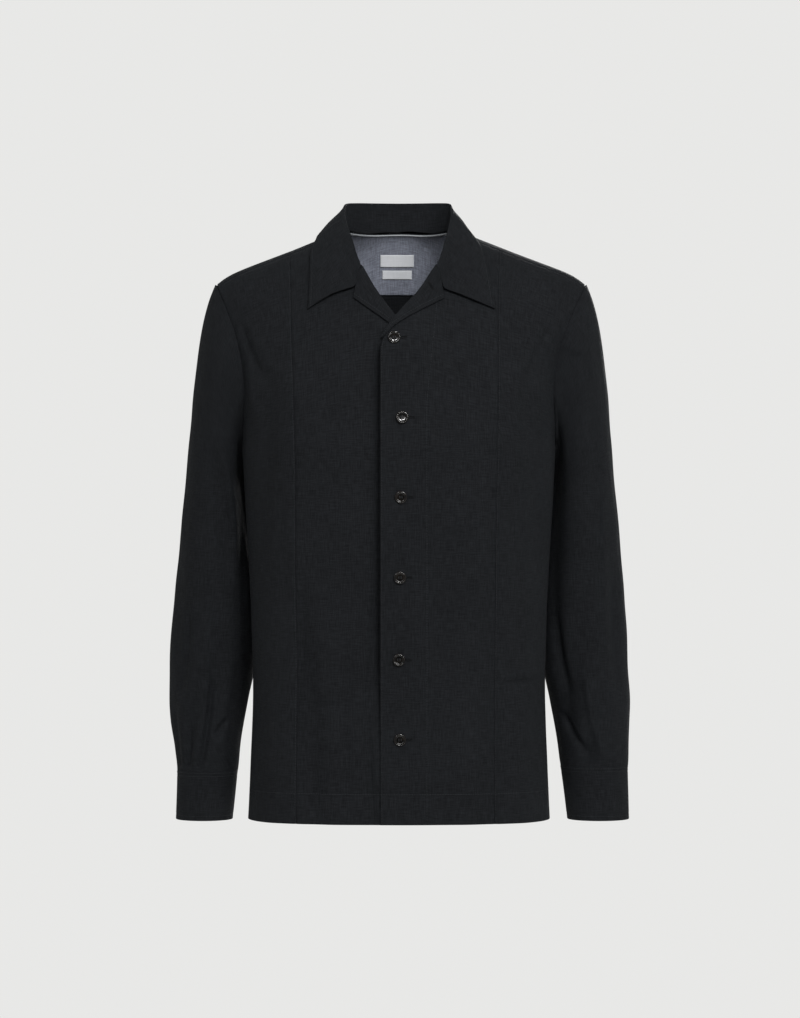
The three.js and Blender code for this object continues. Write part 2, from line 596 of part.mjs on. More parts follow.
// The sleeve's outer face: v from 0 at the armhole to 1 at capEnd level, then straight rings.
function sleeveCapPoint(side, turn, w) {
  const s = mix(-290, 290, turn);
  const hole = bodyAt(side, s);
  const top = (1 - Math.cos(2 * Math.PI * turn)) / 2;
  const sine = Math.sin(2 * Math.PI * turn);
  const level = Math.abs(sine);
  const leave = new THREE.Vector3(
    side * (0.1 + 0.5 * level * (1 - top) + 0.3 * top),
    -0.3 * sine + 0.4 * (1 - top) ** 2 * (1 - level),
    -0.9 + 0.22 * level,
  ).normalize();
  const start = hole.add(new THREE.Vector3(side * mix(armholeStep, clothWall + armholeStep, top), 0, 0));
  const end = ringPoint(side, turn, sleeveCapZ);
  const below = ringPoint(side, turn, sleeveCapZ - 10).sub(end).normalize();
  const reach = start.distanceTo(end);
  const w2 = w * w;
  const w3 = w2 * w;
  return start
    .multiplyScalar(2 * w3 - 3 * w2 + 1)
    .addScaledVector(leave, (w3 - 2 * w2 + w) * mix(45, 190, top))
    .addScaledVector(end, 3 * w2 - 2 * w3)
    .addScaledVector(below, (w3 - w2) * reach);
}

function sleeve(side, name) {
  const turns = steps(20);
  const rows = [
    ...steps(7).map((w) => turns.map((turn) => sleeveCapPoint(side, turn, w))),
    ...steps(11, sleeveCapZ, cuffSeamZ + seamGap)
      .slice(1)
      .map((z) => turns.map((turn) => ringPoint(side, turn, z))),
  ];
  const middle = (row) => row.slice(1).reduce((sum, p) => sum.add(p), new THREE.Vector3()).divideScalar(20);
  const centres = rows.map(middle);
  const outer = rows.map((row, i) => {
    const folded = row.slice(0, -1).map((p, j) => {
      const out = p.clone().sub(centres[i]).setZ(0).normalize();
      return p.clone().addScaledVector(out, i ? sleeveFold(side, turns[j], p.z) : 0);
    });
    return [...folded, folded[0].clone()];
  });
  const inner = tubeInside(outer, side, clothWall);
  add(name, wallBetween(outer, inner), materials.linen);
}

// The inner face of a tube whose first and last columns are the same line.
function tubeInside(outer, side, thickness) {
  const last = outer[0].length - 1;
  return outer.map((row, i) =>
    row.map((p, j) => {
      const next = row[j === last ? 1 : j + 1];
      const before = row[j === 0 ? last - 1 : j - 1];
      const below = outer[Math.min(outer.length - 1, i + 1)][j];
      const above = outer[Math.max(0, i - 1)][j];
      const round = next.clone().sub(before);
      const down = below.clone().sub(above);
      return p.clone().addScaledVector(down.cross(round).normalize(), -side * thickness);
    }),
  );
}

// A cuff: a band whose outer end laps over its inner end at the back of the wrist.
const cuffLap = { from: 0.69, share: 0.1, rise: 2.3 };
function cuffPoint(side, u, z, lift = 0) {
  const turn = cuffLap.from + u * (1 + cuffLap.share);
  const p = ringPoint(side, turn, z);
  const a = turn * 2 * Math.PI;
  const out = new THREE.Vector3(-side * Math.cos(a), -Math.sin(a), 0);
  return p.addScaledVector(out, lift + cuffLap.rise * smooth(0.78, 0.9, u));
}
function cuff(side, name) {
  const grid = (lift) =>
    [cuffSeamZ, (cuffSeamZ + cuffHemZ) / 2, cuffHemZ].map((z) =>
      steps(26).map((u) => cuffPoint(side, u, z, lift)),
    );
  add(name, wallBetween(grid(0), grid(-cuffWall)), materials.linen);
}

// The strip that binds the slit above the cuff, laid on the sleeve.
const placketTurn = { middle: 0.735, half: 0.042, top: -545, point: -528 };
function sleevePlacket(side, name) {
  const levels = steps(6, cuffSeamZ + 1.5, placketTurn.top);
  const grid = (lift) =>
    levels.map((z) =>
      steps(2, -1, 1).map((k) => {
        const height = z + (z === placketTurn.top && k === 0 ? placketTurn.point - placketTurn.top : 0);
        const turn = placketTurn.middle + k * placketTurn.half;
        const a = turn * 2 * Math.PI;
        const out = new THREE.Vector3(-side * Math.cos(a), -Math.sin(a), 0);
        return ringPoint(side, turn, height).addScaledVector(out, lift + sleeveFold(side, turn, height));
      }),
    );
  add(name, wallBetween(grid(layGap + clothWall + 0.5), grid(layGap + 0.5)), materials.linen);
}

// The collar's middle layer: v runs up the stand, round the fold and down the fall.
const collarRows = [0, 0.12, 0.24, 0.28, 0.33, 0.38, 0.42, 0.52, 0.64, 0.76, 0.88, 1];
function collarPoint(k, v) {
  const side = k < 0 ? -1 : 1;
  const u = Math.abs(k);
  const at = (column) => along(collarLines[handOf(side)], "u", column, u);
  const end = (column, t) => along(collarEndLines[handOf(side)], "t", column, t);
  const rise = (x, s) => (side > 0 ? Math.max(0, leftRise(x, bodyForm(bodyShare(x, s), s).z)) : 0);
  const seamX = side * at("seamX");
  const seam = bodyAtX(seamX, at("seamS"), collarWall / 2 + 1.25 + rise(seamX, at("seamS")));
  const roll = new THREE.Vector3(side * at("rollX"), at("rollY"), at("rollZ"));
  const toEnd = smooth(endReach, 1, u) ** 1.5;
  const place = (t) => ({
    x: mix(seamX, side * at("edgeX"), t) + toEnd * (side * end("x", t) - mix(seamX, side * at("edgeX"), t)),
    s: mix(at("seamS"), at("edgeS"), t) + toEnd * (end("s", t) - mix(at("seamS"), at("edgeS"), t)),
  });
  const lying = (t) => {
    const { x, s } = place(t);
    const bulge = fallBulge * Math.sin(Math.PI * t) * (1 - 0.5 * toEnd);
    const overShoulder = 1.6 * Math.exp(-(((u - 0.46) / 0.12) ** 2));
    return bodyAtX(x, s, fallLift + bulge + overShoulder + rise(x, s));
  };
  const standWay = roll.clone().sub(seam).normalize();
  const fallWay = lying(0.4).sub(roll).normalize();
  const apex = standWay.clone().sub(fallWay).normalize();
  const acrossFold = fallWay.clone().addScaledVector(apex, -fallWay.dot(apex)).normalize();
  const foot = roll.clone().addScaledVector(apex, -2 * foldRadius);
  if (v <= 0.24) {
    const top = foot.clone().addScaledVector(acrossFold, -foldRadius);
    return seam.lerp(top, v / 0.24);
  }
  if (v < 0.42) {
    const a = Math.PI * ((v - 0.24) / 0.18);
    return foot
      .addScaledVector(acrossFold, -foldRadius * Math.cos(a))
      .addScaledVector(apex, 2 * foldRadius * Math.sin(a));
  }
  const t = clamp((v - 0.42) / 0.58, 0, 1);
  const start = foot.addScaledVector(acrossFold, foldRadius);
  return lying(t).addScaledVector(start.sub(lying(0)), (1 - t) ** 1.35);
}

function collar() {
  const stations = steps(15).map((t) => 1 - (1 - t) ** 1.1);
  const all = [...stations.slice(1).map((k) => -k).reverse(), ...stations];
  const points = all.map((k) => collarRows.map((v) => collarPoint(k === 0 ? 1e-6 : k, v)));
  const normals = gridNormals(points, () => new THREE.Vector3(0, 1, 0));
  add(
    "collar",
    wallBetween(shifted(points, normals, collarWall / 2), shifted(points, normals, -collarWall / 2)),
    materials.linen,
  );
}

// A lapel: a short tail under the roll line, the fold, and the turned-back face on top.
const lapelRows = [0, 0.14, 0.2, 0.26, 0.32, 0.38, 0.55, 0.72, 0.86, 1];
function lapelPoint(side, u, v) {
  const at = (column) => along(lapelLines[handOf(side)], "u", column, u);
  const rollX = at("rollX");
  const rollS = at("rollS");
  const tail = lapelTail(u);
  const middle = -clothWall / 2;
  if (v <= 0.14) return frontAt(side, rollX + mix(tail, 2, v / 0.14), rollS, middle);
  if (v < 0.38) {
    const a = Math.PI * ((v - 0.14) / 0.24);
    const lift = middle + (lapelLift / 2) * (1 - Math.cos(a));
    return frontAt(side, rollX + 2 - 2 * Math.sin(a), rollS, lift);
  }
  const t = clamp((v - 0.38) / 0.62, 0, 1);
  const x = mix(rollX + 2, at("edgeX"), t);
  const s = mix(rollS, at("edgeS"), t);
  return frontAt(side, x, s, middle + lapelLift + 1.2 * Math.sin(Math.PI * t) * (1 - u));
}

function lapel(side, name) {
  const points = steps(9).map((u) => lapelRows.map((v) => lapelPoint(side, u, v)));
  const normals = gridNormals(points, () => new THREE.Vector3(0, -1, 0));
  add(
    name,
    wallBetween(shifted(points, normals, clothWall / 2), shifted(points, normals, -clothWall / 2)),
    materials.linen,
  );
}

// The light cord that edges the neck seam inside the back of the collar.
const piping = { tall: 2.4, thick: 1.8, reach: 0.6 };
function neckPiping() {
  const top = -clothWall - layGap;
  const turns = yokeTurns.filter((k) => Math.abs(k) < piping.reach);
  const grid = (lift) =>
    turns.map((k) => [0, 0.5, 1].map((t) => yokePoint(k, (t * piping.tall) / 85, lift)));
  add("neck_piping", wallBetween(grid(top), grid(top - piping.thick)), materials.piping);
}

// A blank woven label sewn on the yoke lining.
function label({ name, x, z, wide, tall }) {
  const inside = -clothWall - layGap - yokeLiningWall - 2.4 * layGap;
  const grid = (lift) =>
    [z + tall / 2, z - tall / 2].map((height) =>
      steps(4, x - wide / 2, x + wide / 2).map((at) => bodyAtX(at, sOfHeight(at, height, 1), lift)),
    );
  add(name, wallBetween(grid(inside), grid(inside - labelWall)), materials.label);
}

// A geometry with its shared vertices merged.
function closed(geometry) {
  const bare = geometry.clone();
  bare.deleteAttribute("normal");
  bare.deleteAttribute("uv");
  return mergeVertices(bare, 1e-4);
}

function asSolid(geometry) {
  const merged = closed(geometry);
  return new wasm.Manifold(
    new wasm.Mesh({
      numProp: 3,
      vertProperties: merged.getAttribute("position").array,
      triVerts: new Uint32Array(merged.index.array),
    }),
  );
}

function asGeometry(solid) {
  const mesh = solid.getMesh();
  return new THREE.BufferGeometry()
    .setAttribute("position", new THREE.BufferAttribute(mesh.vertProperties, 3))
    .setIndex(new THREE.BufferAttribute(mesh.triVerts, 1));
}

// A round button with a rim, a dished middle and four thread holes, its back at z = 0.
function buttonGeometry({ radius, thick }) {
  const profile = [
    [0, 0],
    [radius * 0.8, 0],
    [radius, thick * 0.45],
    [radius * 0.94, thick * 0.9],
    [radius * 0.78, thick],
    [radius * 0.62, thick * 0.62],
    [0, thick * 0.55],
  ].map(([r, z]) => new THREE.Vector2(r, z));
  let solid = asSolid(new THREE.LatheGeometry(profile, 16).rotateX(Math.PI / 2));
  for (let i = 0; i < 4; i += 1) {
    const a = (i + 0.5) * (Math.PI / 2);
    const hole = new THREE.CylinderGeometry(radius * 0.11, radius * 0.11, thick * 4, 5)
      .rotateX(Math.PI / 2)
      .translate(radius * 0.25 * Math.cos(a), radius * 0.25 * Math.sin(a), 0);
    solid = solid.subtract(asSolid(hole));
  }
  return asGeometry(solid);
}

function placeButton(name, size, place, out, standOff) {
  const mesh = new THREE.Mesh(buttonGeometry(size), materials.button);
  mesh.name = name;
  mesh.quaternion.setFromUnitVectors(new THREE.Vector3(0, 0, 1), out);
  mesh.position.copy(place).addScaledVector(out, standOff);
  shirt.add(mesh);
}

function buttons() {
  frontButtons.forEach(({ x, z, standOff }, i) => {
    const s = sOfHeight(x, z, -1);
    const out = bodyNormal(bodyShare(x, s), s);
    placeButton(`button_${i + 1}`, frontButton, frontAt(1, x, s), out, standOff);
  });
  for (const [side, name] of [[-1, "cuff_button_right"], [1, "cuff_button_left"]]) {
    const middle = (cuffSeamZ + cuffHemZ) / 2;
    const u = 0.955;
    const a = (cuffLap.from + u * (1 + cuffLap.share)) * 2 * Math.PI;
    const out = new THREE.Vector3(-side * Math.cos(a), -Math.sin(a), 0);
    placeButton(name, cuffButton, cuffPoint(side, u, middle), out, cuffButtonStandOff);
  }
}

for (const [side, word] of [[-1, "right"], [1, "left"]]) {
  frontCentre(side, `front_centre_${word}`);
  frontSide(side, `front_side_${word}`);
  lapel(side, `lapel_${word}`);
  sleeve(side, `sleeve_${word}`);
  sleevePlacket(side, `sleeve_placket_${word}`);
  cuff(side, `cuff_${word}`);
}
back();
yoke();
yokeLining();
collar();
neckPiping();
labels.forEach(label);
buttons();

export default shirt;
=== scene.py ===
# Long-sleeved camp-collar shirt of black linen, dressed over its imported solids.
# Shapes are worked out in millimetres in the part's own frame and put into the meshes in metres.
import math

import bpy
import numpy as np
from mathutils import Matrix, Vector


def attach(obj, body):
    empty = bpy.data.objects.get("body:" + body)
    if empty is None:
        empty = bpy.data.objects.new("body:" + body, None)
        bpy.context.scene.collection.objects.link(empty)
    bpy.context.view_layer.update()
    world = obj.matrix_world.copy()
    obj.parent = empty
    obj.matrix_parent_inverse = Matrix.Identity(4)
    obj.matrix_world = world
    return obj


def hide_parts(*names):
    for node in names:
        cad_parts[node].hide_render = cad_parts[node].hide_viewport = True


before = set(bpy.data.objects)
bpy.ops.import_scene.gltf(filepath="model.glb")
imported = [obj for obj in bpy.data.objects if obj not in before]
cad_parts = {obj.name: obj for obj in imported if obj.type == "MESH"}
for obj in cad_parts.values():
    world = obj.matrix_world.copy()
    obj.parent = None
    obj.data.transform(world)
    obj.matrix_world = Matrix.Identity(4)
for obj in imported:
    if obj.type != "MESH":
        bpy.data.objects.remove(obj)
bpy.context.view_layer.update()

scene = bpy.context.scene
mm = 0.001

# Camera at the photograph's viewing angle: level, looking along +Y
camera = {"place": (0.00127, -4.8, -0.32865), "lens": 133.65, "sensor": 36}
cameraData = bpy.data.cameras.new("camera")
cameraData.lens = camera["lens"]
cameraData.sensor_width = camera["sensor"]
cameraObject = bpy.data.objects.new("camera", cameraData)
cameraObject.location = camera["place"]
cameraObject.rotation_euler = (math.pi / 2, 0, 0)
scene.collection.objects.link(cameraObject)
scene.camera = cameraObject


# Named columns of a table of rows
def table(columns, rows):
    return dict(zip(columns.split(), np.array(rows, float).T))


def mix(a, b, t):
    return a + (b - a) * t


# Eases from 0 to 1 between two places: 3t^2 - 2t^3; the first place may be the larger
def smooth(start, end, at):
    t = np.clip((at - start) / (end - start), 0, 1)
    return t * t * (3 - 2 * t)


# A soft hump of height 1: e to the minus (distance over width) squared
def hump(distance, width):
    return np.exp(-((distance / width) ** 2))


def unit(v):
    return v / np.maximum(np.linalg.norm(v, axis=-1, keepdims=True), 1e-12)


# A column of a table on cubic pieces whose slopes are the harmonic means of the rates beside them
def along(rows, key, column, at):
    keys, values = rows[key], rows[column]
    if keys[-1] < keys[0]:
        keys, values = keys[::-1], values[::-1]
    rate = np.diff(values) / np.diff(keys)
    before, after = rate[:-1], rate[1:]
    same = before * after > 0
    inner = np.where(same, 2 * before * after / np.where(same, before + after, 1), 0)
    slope = np.concatenate([rate[:1], inner, rate[-1:]])
    i = np.clip(np.searchsorted(keys, at, side="right") - 1, 0, len(keys) - 2)
    span = keys[i + 1] - keys[i]
    t = np.clip((at - keys[i]) / span, 0, 1)
    held = (2 * t**3 - 3 * t**2 + 1) * values[i] + (3 * t**2 - 2 * t**3) * values[i + 1]
    return held + span * ((t**3 - 2 * t**2 + t) * slope[i] + (t**3 - t**2) * slope[i + 1])


# Cloth walls and gaps between pieces
wall = {"linen": 1.2, "collar": 1.5, "cuff": 1.7, "lining": 1.0, "label": 0.8, "piping": 1.8}
seamGap = 0.05
layGap = 0.35
armholeStep = 0.8

# The body's form: s runs over the shoulder from the front hem (-760) to the back hem (760)
body = {
    "boxiness": 0.035,
    "ridgeSoftness": 0.2,
    "shoulderRound": 0.115,
    "overlap": 23,
    "hem": 760,
    "sideSeamShare": 0.0002,
    "sections": table(
        "s midY midZ edgeX edgeY edgeZ leftExtra wrap",
        [
            (-760, -124, -720, 191, -10, -720, 0, 90),
            (-688, -122, -648, 188, -10, -648, 0, 90),
            (-599, -121, -559, 185, -10, -559, 0, 90),
            (-510, -123, -470, 187, -10, -470, 0, 90),
            (-408, -129, -368, 192, -10, -368, 0, 90),
            (-340, -134, -300, 196, -10, -300, 0, 90),
            (-290, -135, -250, 198, -10, -252, 0, 90),
            (-252, -133, -205, 197, -28, -232, 0, 84),
            (-195, -124, -137, 194, -52, -180, 0, 74),
            (-135, -103, -64, 202, -53, -122, 2, 64),
            (-70, -66, 2, 219, -38, -72, 4, 56),
            (-22, -24, 38, 229, -18, -49, 5, 52),
            (0, 0, 43, 231, -3, -44, 5, 50),
            (28, 28, 39, 229, 18, -51, 5, 52),
            (75, 68, 21, 218, 46, -84, 4, 58),
            (130, 94, -30, 206, 58, -130, 2, 66),
            (190, 109, -92, 199, 56, -180, 0, 74),
            (240, 116, -152, 198, 38, -222, 0, 84),
            (290, 119, -222, 198, -10, -252, 0, 90),
            (340, 118, -286, 196, -10, -300, 0, 90),
            (408, 113, -364, 192, -10, -368, 0, 90),
            (510, 107, -470, 187, -10, -470, 0, 90),
            (599, 106, -559, 185, -10, -559, 0, 90),
            (688, 109, -648, 188, -10, -648, 0, 90),
            (760, 112, -720, 191, -10, -720, 0, 90),
        ],
    ),
    "folds": [
        # face, x, lean, top, bottom, width, depth
        (-1, -40, 0.01, -130, -430, 13, -3),
        (-1, -112, -0.05, -420, -740, 13, -4),
        (-1, -84, -0.06, -440, -760, 17, 3),
        (-1, 116, 0.02, -260, -760, 12, -4),
        (-1, 86, 0.02, -300, -760, 18, 3),
        (-1, -166, 0.05, -120, -420, 12, -4),
        (-1, 168, -0.05, -120, -400, 12, -4),
        (-1, 156, 0.03, -450, -760, 13, 3),
        (-1, -156, 0.03, -480, -760, 13, 3),
        (1, -118, 0.06, -90, -760, 20, -7),
        (1, 118, -0.06, -90, -760, 20, -7),
        (1, -72, 0.03, -150, -760, 24, 5),
        (1, 72, -0.03, -150, -760, 24, 5),
        (1, 4, 0.02, -260, -760, 26, -5),
        (1, -160, 0.04, -260, -760, 15, 4),
        (1, 160, -0.04, -260, -760, 15, 4),
    ],
    "creases": [
        # face, from x and z, to x and z, width, depth
        (-1, -114, -570, -64, -571, 2.8, -1.1),
        (-1, -117, -420, -118, -712, 8, -1.3),
        (-1, 106, -300, 108, -690, 10, -1.0),
        (-1, 124, -544, 180, -541, 3.2, -1.5),
        (-1, 126, -537, 172, -533, 3.6, 0.9),
        (-1, 110, -263, 122, -258, 2.6, -1.0),
        (-1, -198, -96, -168, -172, 6, -1.8),
        (-1, -190, -140, -172, -232, 6, 1.3),
        (-1, 192, -96, 166, -166, 6, -1.6),
        (-1, 186, -150, 170, -236, 6, 1.2),
        (-1, -122, -118, -62, -262, 18, -0.9),
        (-1, 108, -108, 62, -250, 18, -0.9),
        (-1, 62, -420, 68, -700, 10, -1.0),
        (-1, -58, -500, -66, -704, 9, -0.9),
        (-1, 22, -380, 28, -560, 9, 0.6),
        (-1, -146, -300, -138, -460, 9, -1.0),
        (-1, 146, -296, 150, -430, 9, -0.9),
        (-1, -178, -470, -172, -640, 9, -0.7),
        (-1, 178, -440, 170, -640, 9, -0.6),
        (-1, -34, -610, -31, -716, 3, -0.8),
        (-1, -30, -440, -29, -740, 4, -1.0),
        (-1, 12, -130, 34, -176, 7, -0.9),
        (-1, -8, -330, 24, -352, 6, -0.5),
        (1, -60, -140, -92, -330, 12, -1.8),
        (1, 70, -150, 98, -342, 12, -1.6),
        (1, -30, -420, -46, -640, 9, -1.4),
        (1, 32, -400, 52, -664, 9, 1.4),
        (1, -140, -300, -118, -480, 8, -1.6),
        (1, 146, -310, 121, -470, 8, -1.4),
        (1, -104, -562, -44, -580, 3.6, -1.1),
        (1, 58, -500, 122, -514, 3.6, -1.1),
        (1, -172, -238, -122, -300, 7, -1.6),
        (1, 172, -240, 126, -296, 7, -1.5),
        (1, 10, -560, 17, -706, 8, 1.2),
        (1, -164, -520, -152, -690, 8, -1.3),
        (1, 160, -500, 156, -700, 8, -1.3),
    ],
}

# A gentle unevenness all over the cloth: the sum of a few long waves of fixed directions
chance = np.random.default_rng(11)
waveCount = 9
waves = {
    "turn": chance.uniform(0, math.pi, waveCount),
    "length": chance.uniform(38, 150, waveCount),
    "start": chance.uniform(0, 2 * math.pi, waveCount),
    "size": chance.uniform(0.08, 0.22, waveCount),
}


def unevenness(x, z):
    total = np.zeros(np.broadcast(x, z).shape)
    for turn, length, start, size in zip(*waves.values()):
        phase = (x * math.cos(turn) + z * math.sin(turn)) * 2 * math.pi / length
        total = total + size * np.sin(phase + start + 0.8 * np.sin(phase * 0.37))
    return total


creaseGain = 2.0
sleeveGain = 3.0


# Straight creases with soft ends: depth times a hump of the distance from the crease's line
def creaseDepth(creases, x, z):
    total = np.zeros(np.broadcast(x, z).shape)
    for x1, z1, x2, z2, width, depth in creases:
        length = math.hypot(x2 - x1, z2 - z1)
        toX, toZ = (x2 - x1) / length, (z2 - z1) / length
        share = ((x - x1) * toX + (z - z1) * toZ) / length
        bow = 0.03 * length * np.sin(math.pi * np.clip(share, 0, 1))
        off = (x - x1) * toZ - (z - z1) * toX - bow
        ends = smooth(-0.12, 0.3, share) * smooth(1.12, 0.7, share)
        total = total + depth * ends * hump(off, width * (0.7 + 0.5 * np.clip(share, 0, 1)))
    return total


def sideways(a):
    return np.sin(a) + body["boxiness"] * np.sin(3 * a)


def forwards(a):
    return np.cos(a) - body["boxiness"] * np.cos(3 * a)


def section(column, s):
    return along(body["sections"], "s", column, s)


def edgeReach(side, s):
    return section("edgeX", s) + np.where(side > 0, section("leftExtra", s), 0)


# The bare form: f from -1 to 1 turns through the wrap angle, so x goes as its sine and y as its cosine
def bodyForm(f, s):
    f, s = np.broadcast_arrays(f, s)
    most = np.radians(section("wrap", s))
    part = sideways(np.abs(f) * most) / sideways(most)
    turn = (forwards(0) - forwards(f * most)) / (forwards(0) - forwards(most))
    soft = body["ridgeSoftness"]
    ridge = (np.hypot(part, soft) - soft) / (math.hypot(1, soft) - soft)
    drop = ridge - body["shoulderRound"] * part**4 * (1 - part**12)
    x = np.sign(f) * part * edgeReach(f, s)
    y = mix(section("midY", s), section("edgeY", s), turn)
    z = mix(section("midZ", s), section("edgeZ", s), drop)
    return np.stack([x, y, z], -1)


# The share f at which the form has a given x, by Newton's steps
def bodyShare(x, s):
    x, s = np.broadcast_arrays(np.asarray(x, float), s)
    most = np.radians(section("wrap", s))
    wanted = np.clip(np.abs(x) / edgeReach(x, s), 0, 1) * sideways(most)
    a = wanted
    for _ in range(8):
        rate = np.maximum(0.05, np.cos(a) + 3 * body["boxiness"] * np.cos(3 * a))
        a = np.clip(a - (sideways(a) - wanted) / rate, 0, most)
    return np.sign(x) * a / most


def bodyNormal(f, s):
    across = bodyForm(np.minimum(1, f + 0.004), s) - bodyForm(np.maximum(-1, f - 0.004), s)
    up = bodyForm(f, s + 2) - bodyForm(f, s - 2)
    return unit(np.cross(across, up))


# The large folds of the solids: lines that lean with height and fade at both ends
def bodyFold(x, z, s):
    total = np.zeros(x.shape)
    for face, x0, lean, top, bottom, width, depth in body["folds"]:
        line = x0 + lean * (z - (top + bottom) / 2)
        reach = (top - bottom) * 0.3
        ends = smooth(top + 10, top - reach, z) * smooth(bottom - reach, bottom + reach, z)
        total += np.where(face * s >= 0, depth * ends * hump(x - line, width), 0)
    return total


# Where the panel seams and the line of stitches that holds the left front's facing lie
seams = {
    "right": table("s x", [(-760, 128.6), (-330, 129.4), (-235, 131), (-147, 134), (-22, 138)]),
    "left": table("s x", [(-760, 119.7), (-450, 121.4), (-235, 123.2), (-100, 124.5), (-22, 127.5)]),
    "facing": table("z x", [
        (-720, 34.6), (-441, 34.6), (-206, 34.3), (-146, 39.5), (-111, 42.9), (-60, 48),
    ]),
    "hemHeight": 38,
    "groove": 0.9,
    "pucker": 0.5,
}


# Seam work: a groove along each seam with small puckers beside it, and the doubled cloth of the hem
def seamWork(x, z, s):
    front = s < 0
    hand = np.where(x > 0, along(seams["left"], "s", "x", s), along(seams["right"], "s", "x", s))
    off = np.abs(x) - hand
    wave = np.sin(s / 2.3 + 2 * np.sin(s / 17)) * np.sin(s / 31)
    groove = -seams["groove"] * hump(off, 1.7) * (1 + 1.6 * smooth(-748, -758, s))
    work = groove + seams["pucker"] * hump(np.abs(off), 5) * wave
    inFacing = along(seams["facing"], "z", "x", z) - x
    facing = -0.45 * hump(inFacing, 1.4) + 0.2 * hump(inFacing, 5) * np.sin(z / 2.6 + np.sin(z / 13))
    facing = facing + 0.25 * smooth(0, 2, inFacing) * (x > -body["overlap"] - 1)
    facing = facing * smooth(-70, -110, z) * smooth(-26, -16, x)
    low = np.abs(s) - (body["hem"] - seams["hemHeight"])
    hem = 0.3 * smooth(0, 1.5, low) - 0.5 * hump(low, 1.3)
    hem = hem + 0.22 * hump(low, 5) * np.sin(x / 2.1 + 2 * np.sin(x / 19))
    yokeSeam = -0.8 * hump(s + 22.1, 1.8) + 0.3 * hump(s + 25, 3) * np.sin(x / 2.2 + np.sin(x / 15))
    return np.where(front, work + facing + yokeSeam, 0) + hem


def bodyRelief(x, z, s):
    relief = bodyFold(x, z, s) + unevenness(x + 400 * (s > 0), z) + seamWork(x, z, s)
    for face in (-1, 1):
        chosen = [row[1:] for row in body["creases"] if row[0] == face]
        relief = relief + np.where(face * s > 0, creaseGain * creaseDepth(chosen, x, z), 0)
    return relief * np.where(np.abs(s) < 30, 0.6, 1.0)


# The body's cloth at a share f and distance s, moved outwards along the form's normal
def bodyAt(f, s, lift=0.0):
    f, s = np.broadcast_arrays(np.asarray(f, float), np.asarray(s, float))
    p = bodyForm(f, s)
    out = lift + bodyRelief(p[..., 0], p[..., 2], s) * smooth(1, 0.93, np.abs(f))
    return p + bodyNormal(f, s) * out[..., None]


def bodyAtX(x, s, lift=0.0):
    return bodyAt(bodyShare(x, s), s, lift)


# The distance s at which the form has height z at a given x, by halving
def sOfHeight(x, z, face):
    x, z, face = (a.astype(float) for a in np.broadcast_arrays(x, z, face))
    near, far = np.zeros(x.shape), face * body["hem"]
    for _ in range(32):
        s = (near + far) / 2
        above = bodyForm(bodyShare(x, s), s)[..., 2] > z
        near, far = np.where(above, s, near), np.where(above, far, s)
    return (near + far) / 2


lap = {
    "opening": 3.8,  # the left front lifts this much towards the neck
    "edge": 1.8,
    "under": 1.4,
    "trough": 9.5,
    "troughX": -24,
    "troughWidth": 8.5,
}


# How far the overlapping left front stands off the form, and the right one lies in it
def leftRise(x, z):
    over = smooth(62, 26, x)
    opening = lap["opening"] * np.exp(-(((x + 3) / 34) ** 2) - ((z + 95) / 42) ** 2) * smooth(70, 40, x)
    edge = lap["edge"] * smooth(-6, -21, x) * smooth(-122, -165, z) * smooth(-640, -500, z)
    return over + opening + edge


def rightRise(x, z):
    trough = lap["trough"] * hump(x - lap["troughX"], lap["troughWidth"])
    return -lap["under"] * smooth(-62, -26, x) - trough * smooth(-108, -150, z) * smooth(-650, -480, z)


# A place on one front: x grows away from the middle towards that front's own side
def frontAt(side, x, s, lift=0.0):
    x, s = np.broadcast_arrays(np.asarray(x, float), np.asarray(s, float))
    f = bodyShare(side * x, s)
    p = bodyForm(f, s)
    rise = leftRise(p[..., 0], p[..., 2]) if side > 0 else rightRise(p[..., 0], p[..., 2])
    return bodyAt(f, s, lift + rise)


def handOf(side):
    return "left" if side > 0 else "right"


# Lapels: roll line and outer edge from the notch (u = 0) down to the break
lapel = {
    "under": 5.5,
    "lift": 3.1,
    "foot": {"left": -130, "right": -134},
    "neckTop": table("x z", [(63, -6), (71, 12), (76, 24)]),
    "left": table(
        "u rollX rollZ edgeX edgeZ",
        [
            (0, 46.4, -24, 56, -67),
            (0.3, 24, -58, 36.5, -77.5),
            (0.55, 3, -82.5, 15.5, -89.5),
            (0.8, -13, -102, -5, -103),
            (1, -22.5, -117.5, -17.5, -115),
        ],
    ),
    "right": table(
        "u rollX rollZ edgeX edgeZ",
        [
            (0, 46.6, -24.2, 56.6, -66),
            (0.3, 30, -53, 41.5, -77),
            (0.6, 13.5, -77, 23, -90),
            (0.85, 1, -93, 7.5, -101.5),
            (1, -6, -102, -2.5, -106.5),
        ],
    ),
}


def lapelTail(u):
    return lapel["under"] * (1 - 0.45 * u)


for hand, side in (("left", 1), ("right", -1)):
    rows = lapel[hand]
    rows["rollS"] = sOfHeight(side * rows["rollX"], rows["rollZ"], -1)
    rows["edgeS"] = sOfHeight(side * rows["edgeX"], rows["edgeZ"], -1)


# The inner edge of a front from hem to yoke: the lap, beside the lapel's tail, then round the neck
def neckEdge(hand, side):
    rows, top = lapel[hand], lapel["neckTop"]
    foot = float(sOfHeight(-side * body["overlap"], lapel["foot"][hand], -1))
    beside = rows["rollX"] + lapelTail(rows["u"]) + 0.7
    x = np.concatenate([[-body["overlap"]] * 2, beside[::-1], top["x"]])
    topS = sOfHeight(side * top["x"], top["z"], -1)
    return {"x": x, "s": np.concatenate([[-body["hem"], foot], rows["rollS"][::-1], topS])}


neckLine = {"left": neckEdge("left", 1), "right": neckEdge("right", -1)}


